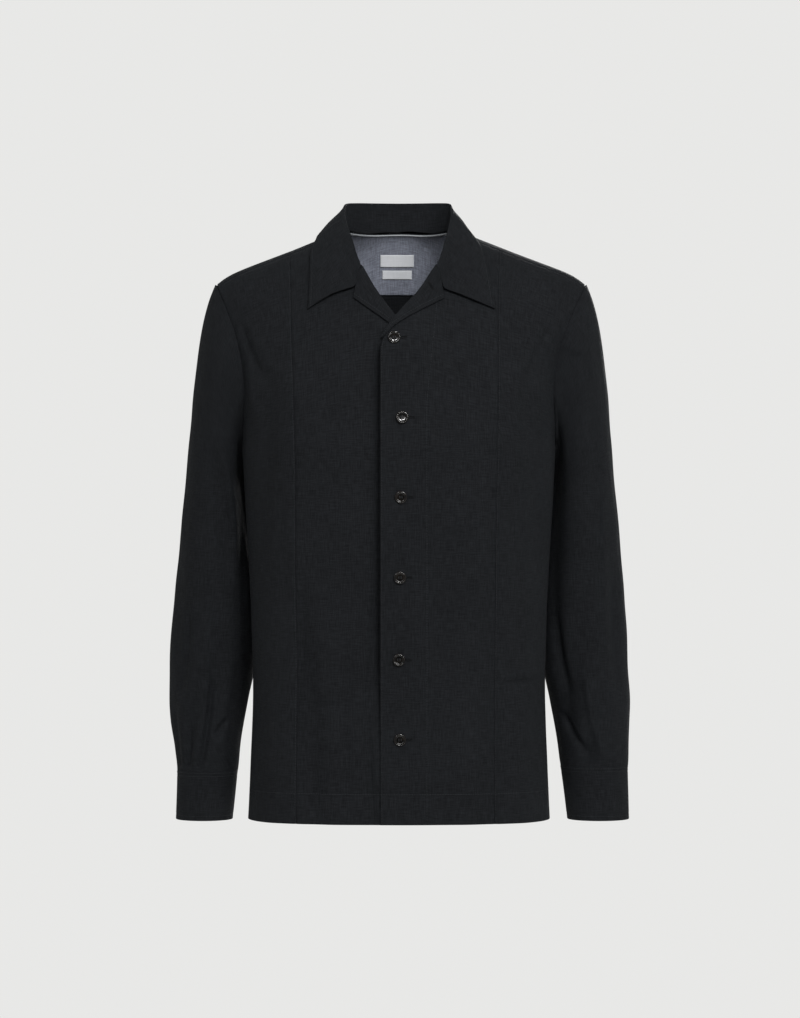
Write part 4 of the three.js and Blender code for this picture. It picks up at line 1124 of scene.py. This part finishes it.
# The seam allowances at the armhole and inside the cuff are rows of the same grid as the sleeve
def sleevePiece(side):
    turns = np.linspace(0, 1, sleeve["columns"] + 1)
    w, capShares = softSteps(sleeve["capRows"], 0, 1, 0.006, both=False)
    cap = sleeveCap(side, *np.broadcast_arrays(turns[None, :], w[:, None]))
    inward = np.array([9, 8.7, 6, 3, 1, -0.4])
    tuck = sleeveTuck(side, *np.broadcast_arrays(turns[None, :], inward[:, None]))
    z, lowShares = softSteps(sleeve["rows"], cuffSeam(side) + seamGap, sleeve["capZ"] - 2, 0.6, both=False)
    seam = cuffSeam(side)
    hidden = seam - np.array([1.2, 3, 5.5, 8])
    low = ringPoint(side, turns[None, :], np.concatenate([z[::-1], hidden])[:, None])
    points = np.concatenate([tuck, cap, low])
    capShares[:] = 1
    lowShares[:] = 1
    shares = np.concatenate([[0.4, 1, 1, 1, 1, 1], capShares, lowShares, [1, 1, 1, 0.4]])
    centre = points[:, :-1].mean(1, keepdims=True)
    out = points - centre
    out[..., 2] = 0
    atCuff = mix(0.25, 1, smooth(seam, seam + 9, z[::-1]))
    fade = np.concatenate([np.zeros(len(inward)), smooth(0, 0.12, w), atCuff, np.zeros(len(hidden))])
    relief = sleeveRelief(side, turns[None, :], points) * fade[:, None]
    relief[-len(hidden) :] -= wall["cuff"] + 0.3
    outer = points + unit(out) * relief[..., None]
    outer[:, -1] = outer[:, 0]
    normals = gridNormals(outer, wrap=True)
    if np.sum(normals * out) < 0:
        normals = -normals
    half = wall["linen"] / 2 * shares[:, None, None]
    middle = outer - normals * wall["linen"] / 2
    faces = (middle + normals * half, middle - normals * half)
    return wallPiece(f"sleeve_{handOf(side)}", faces, linen, "linen", wrap=True)


# The cuff is a band that laps over itself at the back of the wrist
cuff = {"from": 0.69, "share": 0.1, "rise": 2.3, "rows": 24, "columns": 110, "buttonU": 0.955}


def cuffPoint(side, u, z, lift=0.0):
    turn = cuff["from"] + u * (1 + cuff["share"])
    p = ringPoint(side, turn, z)
    a = turn * 2 * math.pi
    out = np.stack(np.broadcast_arrays(-side * np.cos(a), -np.sin(a), 0 * a), -1)
    soft = 0.35 * np.sin(u * 23 + side) * smooth(cuffSeam(side) - 40, cuffSeam(side), z)
    rise = lift + soft + cuff["rise"] * smooth(0.78, 0.9, u)
    edges = -0.25 * hump(z - (cuffSeam(side) - 6), 1.2) - 0.25 * hump(z - (sleeve["cuffHemZ"] + 6), 1.2)
    return p + out * (rise + edges)[..., None]


def cuffPiece(side):
    z, rowShares = softSteps(cuff["rows"], sleeve["cuffHemZ"], cuffSeam(side), wall["cuff"] / 2)
    u, columnShares = softSteps(cuff["columns"], 0, 1, 0.003)

    def place(lift):
        return cuffPoint(side, u[None, :], z[:, None], lift)

    return clothWall(f"cuff_{handOf(side)}", place, 0, wall["cuff"], (rowShares, columnShares))


# The strip that binds the slit above the cuff
placket = {
    "middle": 0.735,
    "half": 0.042,
    "top": -545,
    "point": -528,
    "lift": 0.5,
    "rows": 60,
    "columns": 12,
}


def placketPiece(side):
    z, rowShares = softSteps(placket["rows"], cuffSeam(side) + 1.5, placket["top"], 0.6)
    k, columnShares = softSteps(placket["columns"], -1, 1, 0.05)
    rise = (placket["point"] - placket["top"]) * (1 - np.abs(k[None, :]))
    height = z[:, None] + rise * smooth(placket["top"] - 22, placket["top"], z[:, None])
    turn = placket["middle"] + k[None, :] * placket["half"] + 0 * height
    a = turn * 2 * math.pi
    out = np.stack([-side * np.cos(a), -np.sin(a), 0 * a], -1)
    base = ringPoint(side, turn, height)

    def place(lift):
        return base + out * (lift + sleeveRelief(side, turn, base))[..., None]

    top = layGap + wall["linen"] + placket["lift"]
    return clothWall(f"sleeve_placket_{handOf(side)}", place, top, wall["linen"], (rowShares, columnShares))


for side in (-1, 1):
    sleevePiece(side)
    cuffPiece(side)
    placketPiece(side)
print("stage: sleeves and cuffs made")

collar = {
    "fallLift": 3.4,
    "bulge": 3.2,
    "foldRadius": 1.6,
    "endReach": 0.62,
    "stations": 96,
    "stand": 12,
    "fold": 12,
    "fall": 26,
    "right": table(
        "u seamX seamS rollX rollY rollZ edgeX edgeZ face",
        [
            (0, 0, 65.5, 0, 68, 64, 0, -22, 1),
            (0.16, 38, 52.6, 39, 63, 64, 46, -21, 1),
            (0.3, 61, 25.8, 61, 50, 63, 84, -14, 1),
            (0.4, 70, 5, 69, 33, 60, 97, -2, 1),
            (0.52, 74, -13, 70, 8, 48, 103, 9, -1),
            (0.64, 75, -30, 67, -14, 34, 110, -10, -1),
            (0.76, 71, -52, 62, -38, 18, 110.5, -37, -1),
            (0.88, 65, -72, 56, -62, -1, 110.5, -60, -1),
            (1, 57.5, -87, 46.9, -83.5, -25.5, 113, -79, -1),
        ],
    ),
    "left": table(
        "u seamX seamS rollX rollY rollZ edgeX edgeZ face",
        [
            (0, 0, 65.5, 0, 68, 64, 0, -22, 1),
            (0.16, 38, 52.6, 38, 63, 64, 44, -21, 1),
            (0.3, 61, 25.8, 59, 50, 63, 72, -11, 1),
            (0.4, 70, 5, 66, 33, 60, 79, 8, 1),
            (0.52, 74, -13, 67, 8, 48, 87, 19, -1),
            (0.64, 75, -30, 65, -14, 34, 101, 1, -1),
            (0.76, 71, -52, 61, -38, 18, 110, -27, -1),
            (0.88, 65, -72, 56, -62, -1, 115, -53, -1),
            (1, 57.5, -87, 46.9, -83.5, -25.5, 119, -78, -1),
        ],
    ),
    "rightEnd": table("t x z", [
        (0, 47.2, -25.2), (0.24, 55, -50.5), (0.55, 78, -59.5), (0.8, 98, -71), (1, 113, -81),
    ]),
    "leftEnd": table("t x z", [
        (0, 47.2, -25.2), (0.24, 55.4, -52.5), (0.55, 77, -62.5), (0.8, 101, -73), (1, 119, -80.5),
    ]),
}
for hand, side in (("left", 1), ("right", -1)):
    rows, end = collar[hand], collar[hand + "End"]
    rows["edgeS"] = sOfHeight(side * rows["edgeX"], rows["edgeZ"], rows["face"])
    end["s"] = sOfHeight(side * end["x"], end["z"], -1)


# One half of the collar: up the stand (v to 0.24), round the fold (to 0.42) and down the fall
def collarHalf(side, u, v):
    rows, end = collar[handOf(side)], collar[handOf(side) + "End"]
    u, v = u[:, None], v[None, :]

    def at(column):
        return along(rows, "u", column, u)

    def rise(x, s):
        if side < 0:
            return 0 * x
        return np.maximum(0, leftRise(x, bodyForm(bodyShare(x, s), s)[..., 2]))

    seamX, seamS = side * at("seamX"), at("seamS") + 2.6 * smooth(0.52, 0.36, u)
    edgeX, edgeS = side * at("edgeX"), at("edgeS")
    seam = bodyAtX(seamX, seamS, wall["collar"] / 2 + 1.25 + rise(seamX, seamS))
    roll = np.stack([side * at("rollX"), at("rollY"), at("rollZ")], -1)
    toEnd = smooth(collar["endReach"], 1, u) ** 1.5

    def lying(t):
        flatX, flatS = mix(seamX, edgeX, t), mix(seamS, edgeS, t)
        x = flatX + toEnd * (side * along(end, "t", "x", t) - flatX)
        s = flatS + toEnd * (along(end, "t", "s", t) - flatS)
        bulge = collar["bulge"] * np.sin(math.pi * t) * (1 - 0.5 * toEnd)
        return bodyAtX(x, s, collar["fallLift"] + bulge + 1.6 * hump(u - 0.46, 0.12) + rise(x, s))

    radius = collar["foldRadius"]
    lyingStart = lying(np.zeros((1, 1)))
    standWay = unit(roll - seam)
    fallWay = unit(lying(np.full((1, 1), 0.4)) - roll)
    apex = unit(standWay - fallWay)
    acrossFold = unit(fallWay - apex * np.sum(fallWay * apex, -1, keepdims=True))
    foot = roll - apex * 2 * radius
    v3 = v[..., None]
    stand = mix(seam, foot - acrossFold * radius, np.clip(v3 / 0.24, 0, 1))
    a = math.pi * np.clip((v3 - 0.24) / 0.18, 0, 1)
    arc = foot - acrossFold * radius * np.cos(a) + apex * 2 * radius * np.sin(a)
    t = np.clip((v - 0.42) / 0.58, 0, 1)
    fall = lying(t) + (foot + acrossFold * radius - lyingStart) * ((1 - t) ** 1.35)[..., None]
    return np.where(v3 <= 0.24, stand, np.where(v3 < 0.42, arc, fall))


def collarPiece():
    ends, endShares = softSteps(collar["stations"], 1, 0, -0.004, both=False)
    ends = np.clip(ends, 1e-6, 1)
    u = np.concatenate([ends, ends[:-1][::-1]])
    u = 1 - (1 - u) ** 1.1
    v = np.concatenate([
        [0, 0.002, 0.005],
        np.linspace(0.01, 0.24, collar["stand"]),
        np.linspace(0.24, 0.42, collar["fold"] + 2)[1:-1],
        np.linspace(0.42, 1 - 0.01, collar["fall"]),
        [1 - 0.0045, 1 - 0.0015, 1],
    ])
    half = len(ends)
    points = np.concatenate([collarHalf(-1, u[:half], v)[:-1], collarHalf(1, u[half - 1 :], v)])
    shares = np.concatenate([endShares[:-1], endShares[::-1]])
    return foldedWall("collar", points, shares, wall["collar"], 1)


# A lapel: a short tail under the roll line, the fold, and the turned-back face on top
def lapelPoint(side, u, v):
    rows = lapel[handOf(side)]
    u, v = u[:, None], v[None, :]
    rollX, rollS = along(rows, "u", "rollX", u), along(rows, "u", "rollS", u)
    middle = -wall["linen"] / 2
    a = math.pi * np.clip((v - 0.14) / 0.24, 0, 1)
    t = np.clip((v - 0.38) / 0.62, 0, 1)
    tailX = rollX + mix(lapelTail(u), 2, np.clip(v / 0.14, 0, 1))
    x = np.where(v <= 0.14, tailX, rollX + 2 - 2 * np.sin(a))
    x = np.where(v >= 0.38, mix(rollX + 2, along(rows, "u", "edgeX", u), t), x)
    s = np.where(v >= 0.38, mix(rollS, along(rows, "u", "edgeS", u), t), rollS)
    folded = lapel["lift"] / 2 * (1 - np.cos(a))
    lift = middle + folded + 1.2 * np.sin(math.pi * t) * (1 - u) * (v >= 0.38)
    return frontAt(side, x, s, lift)


def lapelPiece(side):
    u, rowShares = softSteps(44, 0, 1, 0.006)
    v = np.concatenate([
        [0, 0.01, 0.03], np.linspace(0.05, 0.14, 4), np.linspace(0.14, 0.38, 12)[1:-1],
        np.linspace(0.38, 0.985, 24), [0.99, 0.996, 1],
    ])
    return foldedWall(f"lapel_{handOf(side)}", lapelPoint(side, u, v), rowShares, wall["linen"], -1)


collarPiece()
for side in (-1, 1):
    lapelPiece(side)
print("stage: collar and lapels made")

piping = {"tall": 2.4, "fan": 85, "reach": 0.6}
labels = {
    "label_main": {"x": -2.5, "z": -7, "wide": 44, "tall": 15.5},
    "label_size": {"x": -2.5, "z": -24.8, "wide": 38.5, "tall": 11},
}


def pipingPiece():
    k, rowShares = softSteps(120, -piping["reach"], piping["reach"], 0.004)
    t = np.linspace(0, 1, 9)
    columnShares = np.sqrt(np.maximum(0.06, 1 - (2 * t - 1) ** 2))
    top = -wall["linen"] - layGap

    def place(lift):
        return yokePoint(k, t * piping["tall"] / piping["fan"], lift)

    shares = (rowShares, columnShares)
    return clothWall("neck_piping", place, top, wall["piping"], shares, (cordCloth, "piping"))


# A blank woven label: flat, lying on the inside of the back
def labelPiece(name):
    own = labels[name]
    z, rowShares = softSteps(12, own["z"] + own["tall"] / 2, own["z"] - own["tall"] / 2, -0.4)
    x, columnShares = softSteps(30, own["x"] - own["wide"] / 2, own["x"] + own["wide"] / 2, 0.4)
    s = sOfHeight(x[None, :], z[:, None], 1)
    inside = -wall["linen"] - layGap - wall["lining"] - 2.4 * layGap

    def place(lift):
        return bodyAtX(x[None, :] + 0 * s, s, lift)

    shares = (rowShares, columnShares)
    return clothWall(name, place, inside, wall["label"], shares, (labelCloth, "label"), inside=True)


pipingPiece()
for name in labels:
    labelPiece(name)
print("stage: piping and labels made")

buttons = {
    "front": {"radius": 7.8, "thick": 3.0},
    "cuff": {"radius": 5.6, "thick": 2.6},
    "cuffStandOff": 0.6,
    "segments": 72,
    "holeShare": 0.11,
    "holeAt": 0.25,
    "lanes": (-0.28, 0, 0.28),
    "sharpAngle": 38,
    "places": table("x z standOff", [
        (-5.8, -117, -0.4), (4, -215.5, 0.4), (2.5, -314, 0.1),
        (1.2, -413.5, 0.4), (0, -515.5, 0.4), (1.2, -614.5, 0.4),
    ]),
    "tilt": [(5, -9), (2, 4), (-3, -2), (2, 3), (-2, 4), (3, -3)],
}


# A turned button: a rounded rim round a dished middle, carried round its axis
def buttonMesh(radius, thick):
    profile = np.array([
        (0.0, 0.0), (0.5, 0.0), (0.8, 0.0), (0.9, 0.12), (0.97, 0.3), (1.0, 0.5),
        (0.99, 0.68), (0.95, 0.85), (0.89, 0.96), (0.83, 1.0), (0.77, 0.96), (0.72, 0.84),
        (0.68, 0.68), (0.63, 0.57), (0.56, 0.52), (0.4, 0.5), (0.2, 0.49), (0.0, 0.49),
    ]) * (radius, thick)
    turn = np.arange(buttons["segments"]) * 2 * math.pi / buttons["segments"]
    ring = profile[1:-1]
    x = ring[:, :1] * np.cos(turn)
    y = ring[:, :1] * np.sin(turn)
    vertices = np.stack([x, y, ring[:, 1:] + 0 * x], -1).reshape(-1, 3)
    vertices = np.concatenate([vertices, [(0, 0, profile[0, 1]), (0, 0, profile[-1, 1])]])
    count, rows = buttons["segments"], len(ring)
    faces = []
    for i in range(rows - 1):
        for j in range(count):
            j2 = (j + 1) % count
            faces.append((i * count + j, i * count + j2, (i + 1) * count + j2, (i + 1) * count + j))
    for j in range(count):
        j2 = (j + 1) % count
        faces.append((rows * count, j2, j))
        faces.append((rows * count + 1, (rows - 1) * count + j, (rows - 1) * count + j2))
    mesh = bpy.data.meshes.new("buttonBlank")
    mesh.from_pydata((vertices * mm).tolist(), [], faces)
    blank = bpy.data.objects.new("buttonBlank", mesh)
    scene.collection.objects.link(blank)
    drills = []
    for i in range(4):
        a = (i + 0.5) * math.pi / 2
        at = radius * buttons["holeAt"] * mm
        bpy.ops.mesh.primitive_cylinder_add(
            vertices=20, radius=radius * buttons["holeShare"] * mm, depth=thick * 4 * mm,
            location=(at * math.cos(a), at * math.sin(a), 0),
        )
        drill = bpy.context.object
        drills.append(drill)
        cut = blank.modifiers.new("hole", "BOOLEAN")
        cut.operation, cut.object, cut.solver = "DIFFERENCE", drill, "EXACT"
    bpy.context.view_layer.update()
    made = bpy.data.meshes.new_from_object(blank.evaluated_get(bpy.context.evaluated_depsgraph_get()))
    for item in [blank, *drills]:
        bpy.data.objects.remove(item)
    return made


# Axes of a button that faces out, tipped to the right and up by two angles in degrees
def axesFor(out, tilt=(0, 0)):
    out = Vector(out).normalized()
    right = Vector((1, 0, 0))
    if abs(out.x) > 0.8:
        right = Vector((0, 1, 0))
    right = (right - out * right.dot(out)).normalized()
    up = out.cross(right)
    toRight, toUp = (math.tan(math.radians(angle)) for angle in tilt)
    tipped = (out + right * toRight + up * toUp).normalized()
    right = (right - tipped * right.dot(tipped)).normalized()
    return np.array([right, tipped.cross(right), tipped])


# A button in its place, and the three threads through each pair of its holes
def sitButton(name, mesh, size, place, axes):
    own = mesh.copy()
    own.name = name
    co = np.empty(len(own.vertices) * 3, np.float32)
    own.vertices.foreach_get("co", co)
    co = co.reshape(-1, 3) @ axes + np.array(place) * mm
    own.vertices.foreach_set("co", co.astype(np.float32).ravel())
    own.update()
    own.shade_smooth()
    own.set_sharp_from_angle(angle=math.radians(buttons["sharpAngle"]))
    addPiece(name, own, horn, "button", [name])
    threads = []
    at = size["radius"] * buttons["holeAt"] * math.sqrt(0.5)
    for side in (-1, 1):
        for lane in buttons["lanes"]:
            middle = np.array(place) + np.array([[side * at + lane, 0, size["thick"] * 0.6]]) @ axes
            threads.append(spindles(middle, axes[1][None], axes[2][None], at * 2 + 1.2, thread["radius"]))
    return threads


buttonThreads = []
frontBlank = buttonMesh(**buttons["front"])
cuffBlank = buttonMesh(**buttons["cuff"])
rows = buttons["places"]
buttonS = sOfHeight(rows["x"], rows["z"], -1)
buttonPlaces = frontAt(1, rows["x"], buttonS)
buttonOut = bodyNormal(bodyShare(rows["x"], buttonS), buttonS)
for i in range(len(buttonS)):
    place = buttonPlaces[i] + buttonOut[i] * rows["standOff"][i]
    axes = axesFor(buttonOut[i], buttons["tilt"][i])
    buttonThreads += sitButton(f"button_{i + 1}", frontBlank, buttons["front"], place, axes)
for side in (-1, 1):
    middle = (sleeve["cuffSeamZ"] + sleeve["cuffHemZ"]) / 2
    u = cuff["buttonU"]
    a = (cuff["from"] + u * (1 + cuff["share"])) * 2 * math.pi
    out = np.array([-side * math.cos(a), -math.sin(a), 0])
    place = cuffPoint(side, np.array(u), np.array(middle)) + out * buttons["cuffStandOff"]
    name = f"cuff_button_{handOf(side)}"
    buttonThreads += sitButton(name, cuffBlank, buttons["cuff"], place, axesFor(out))
threadPiece("button_threads", buttonThreads)
print("stage: buttons made")


def rowsOn(name, wanted):
    points, normals = laid[name]
    return [stitchRow(*insetLine(points, normals, edge, distance)) for edge, distance in wanted]


# The line of stitches that holds the left front's facing
def facingRow():
    s = np.linspace(-755, -75, 400)
    p = bodyForm(bodyShare(np.full(s.shape, 34.6), s), s)
    x = along(seams["facing"], "z", "x", p[..., 2])
    f = bodyShare(x, s)
    return stitchRow(frontAt(1, x, s), bodyNormal(f, s))


buttonholes = {"from": -2.0, "to": 15.5, "step": 0.42, "lane": 0.95, "length": 1.7, "radius": 0.21}


# Buttonhole: bars of thread side by side above and below a level slit
def buttonhole(x, z):
    across = np.arange(buttonholes["from"], buttonholes["to"], buttonholes["step"])
    parts = []
    for way in (-1, 1):
        at = np.stack([x + across, np.full(across.shape, z + way * buttonholes["lane"])], -1)
        s = sOfHeight(at[:, 0], at[:, 1], -1)
        up = bodyNormal(bodyShare(at[:, 0], s), s)
        point = frontAt(1, at[:, 0], s, 0.1)
        vertical = unit(np.array([0, 0, 1.0]) - up * up[:, 2:3])
        parts.append(spindles(point, vertical, up, buttonholes["length"], buttonholes["radius"]))
    return parts


slit = {
    "from": (37.1, -46.6),
    "to": (43.3, -56.5),
    "lane": 0.85,
    "step": 0.42,
    "length": 1.5,
    "radius": 0.2,
}


# The slit in the left lapel: bars of thread along both sides of a line on its face
def lapelSlit():
    points, normals = laid["lapel_left"]
    start, end = np.array(slit["from"]), np.array(slit["to"])
    way = (end - start) / np.linalg.norm(end - start)
    side = np.array([way[1], -way[0]])
    parts = []
    flat, flatNormals = points.reshape(-1, 3), normals.reshape(-1, 3)
    for lane in (-slit["lane"], slit["lane"]):
        run = np.arange(0, np.linalg.norm(end - start), slit["step"])
        at = start + way * run[:, None] + side * lane
        near = ((flat[None, :, [0, 2]] - at[:, None]) ** 2).sum(-1)
        near = np.where(flatNormals[None, :, 1] < -0.2, near, 1e9)
        pick = near.argmin(1)
        up = flatNormals[pick]
        slope = -(up[:, 0] * (at[:, 0] - flat[pick, 0]) + up[:, 2] * (at[:, 1] - flat[pick, 2])) / up[:, 1]
        point = np.stack([at[:, 0], flat[pick, 1] + slope, at[:, 1]], -1) + up * 0.1
        across = np.stack([np.full(len(at), side[0]), np.zeros(len(at)), np.full(len(at), side[1])], -1)
        across = unit(across - up * np.sum(up * across, -1, keepdims=True))
        parts.append(spindles(point, across, up, slit["length"], slit["radius"]))
    return parts


holes = []
for x, z in zip(rows["x"], rows["z"]):
    holes += buttonhole(x, z)
hemRow = ("top", seams["hemHeight"])
sideRows = [("left", 6.9), hemRow, ("bottom", 2)]
cuffRows = [("top", 6), ("bottom", 2), ("bottom", 6), ("left", 4), ("right", 4)]
placketRows = [("left", 1.5), ("right", 1.5)]
extras = {
    "stitches_front_centre_left": rowsOn("front_centre_left", [("left", 2.0), hemRow]) + [facingRow()],
    "stitches_front_centre_right": rowsOn("front_centre_right", [hemRow]),
    "stitches_front_side_left": rowsOn("front_side_left", sideRows),
    "stitches_front_side_right": rowsOn("front_side_right", sideRows),
    "stitches_back": rowsOn("back", [("bottom", seams["hemHeight"])]),
    "stitches_yoke": rowsOn("yoke", [("right", 2)]),
    "stitches_cuff_left": rowsOn("cuff_left", cuffRows),
    "stitches_cuff_right": rowsOn("cuff_right", cuffRows),
    "stitches_placket_left": rowsOn("sleeve_placket_left", placketRows),
    "stitches_placket_right": rowsOn("sleeve_placket_right", placketRows),
    "stitches_collar": rowsOn("collar", [("right", 5)]),
    "stitches_lapel_left": rowsOn("lapel_left", [("right", 5)]),
    "stitches_lapel_right": rowsOn("lapel_right", [("right", 5)]),
}
for name, parts in extras.items():
    threadPiece(name, parts)
# The buttonholes and the lapel slit use the thread whose darker colour is painted shade of the slits
threadPiece("buttonholes", holes, darkThreadWithPaintedShade)
threadPiece("lapel_slit", lapelSlit(), darkThreadWithPaintedShade)
labelRows = []
for name in labels:
    labelRows += rowsOn(name, [("left", 1), ("right", 1)])
threadPiece("stitches_labels", labelRows, whiteThread, "label")
print("stage: stitches laid")

studio = {
    "floorZ": -1.6,
    "floorRadius": 2.6,
    "sky": (0.807, 0.807, 0.796),
    "fill": 0.24,
    "mirrored": 0.45,
    "darkSide": 0.04,
    "aim": (0, 0, -0.3),
}


def floorPiece():
    bpy.ops.mesh.primitive_circle_add(
        vertices=128, radius=studio["floorRadius"], fill_type="NGON", location=(0, 0, studio["floorZ"]),
    )
    floor = bpy.context.object
    floor.name = "floor"
    material, nodes, links, shader = newMaterial("paleFloor")
    shader.inputs["Base Color"].default_value = (0.8, 0.8, 0.79, 1)
    shader.inputs["Roughness"].default_value = 0.9
    places = nodes.new("ShaderNodeTexCoord")
    reach = nodes.new("ShaderNodeVectorMath")
    reach.operation = "LENGTH"
    links.new(places.outputs["Object"], reach.inputs[0])
    fade = nodes.new("ShaderNodeMapRange")
    fade.interpolation_type = "SMOOTHSTEP"
    fade.inputs["From Min"].default_value = studio["floorRadius"] * 0.35
    fade.inputs["From Max"].default_value = studio["floorRadius"] * 0.98
    fade.inputs["To Min"].default_value = 1
    fade.inputs["To Max"].default_value = 0
    links.new(reach.outputs["Value"], fade.inputs["Value"])
    links.new(fade.outputs[0], shader.inputs["Alpha"])
    floor.data.materials.append(material)


floorPiece()
world = bpy.data.worlds.new("studioSky")
scene.world = world
world.use_nodes = True
nodes, links = world.node_tree.nodes, world.node_tree.links
background = nodes["Background"]
background.inputs["Color"].default_value = (*studio["sky"], 1)
seen = nodes.new("ShaderNodeLightPath")
direction = nodes.new("ShaderNodeTexCoord")
parts = nodes.new("ShaderNodeSeparateXYZ")
links.new(direction.outputs["Generated"], parts.inputs[0])
room = nodes.new("ShaderNodeMapRange")
room.inputs["From Min"].default_value = -0.93
room.inputs["From Max"].default_value = -0.6
room.inputs["To Min"].default_value = studio["darkSide"]
room.inputs["To Max"].default_value = studio["mirrored"]
links.new(parts.outputs["Y"], room.inputs["Value"])
mirrored = nodes.new("ShaderNodeMapRange")
mirrored.inputs["To Min"].default_value = studio["fill"]
links.new(room.outputs[0], mirrored.inputs["To Max"])
links.new(seen.outputs["Is Glossy Ray"], mirrored.inputs["Value"])
level = nodes.new("ShaderNodeMapRange")
links.new(mirrored.outputs[0], level.inputs["To Min"])
level.inputs["To Max"].default_value = 1
links.new(seen.outputs["Is Camera Ray"], level.inputs["Value"])
links.new(level.outputs[0], background.inputs["Strength"])


def softBox(name, place, aim, size, power):
    data = bpy.data.lights.new(name, "AREA")
    data.shape = "RECTANGLE"
    data.size, data.size_y = size
    data.energy = power
    light = bpy.data.objects.new(name, data)
    light.location = place
    light.rotation_euler = (Vector(aim) - Vector(place)).to_track_quat("-Z", "Y").to_euler()
    scene.collection.objects.link(light)


for name, place, aim, size, power in (
    ("frontBox", (0.95, -3.3, 1.7), studio["aim"], (0.6, 0.6), 72),
    ("neckBox", (0.05, -3.7, 1.35), (0, 0, -0.2), (0.5, 0.5), 30),
    ("leftBox", (-1.9, -3.5, 1.5), studio["aim"], (0.8, 1.0), 27),
    ("rightBox", (2.0, -3.4, 1.3), studio["aim"], (0.8, 1.0), 42),
    ("leftSide", (-3.2, 0.6, 0.4), studio["aim"], (1.4, 1.6), 6),
    ("rightSide", (3.2, 0.6, 0.4), studio["aim"], (1.4, 1.6), 6),
    ("backBox", (0.9, 3.6, 0.9), studio["aim"], (1.6, 1.4), 110),
):
    softBox(name, place, aim, size, power)
scene.view_settings.view_transform = "Standard"
print("stage: studio set")
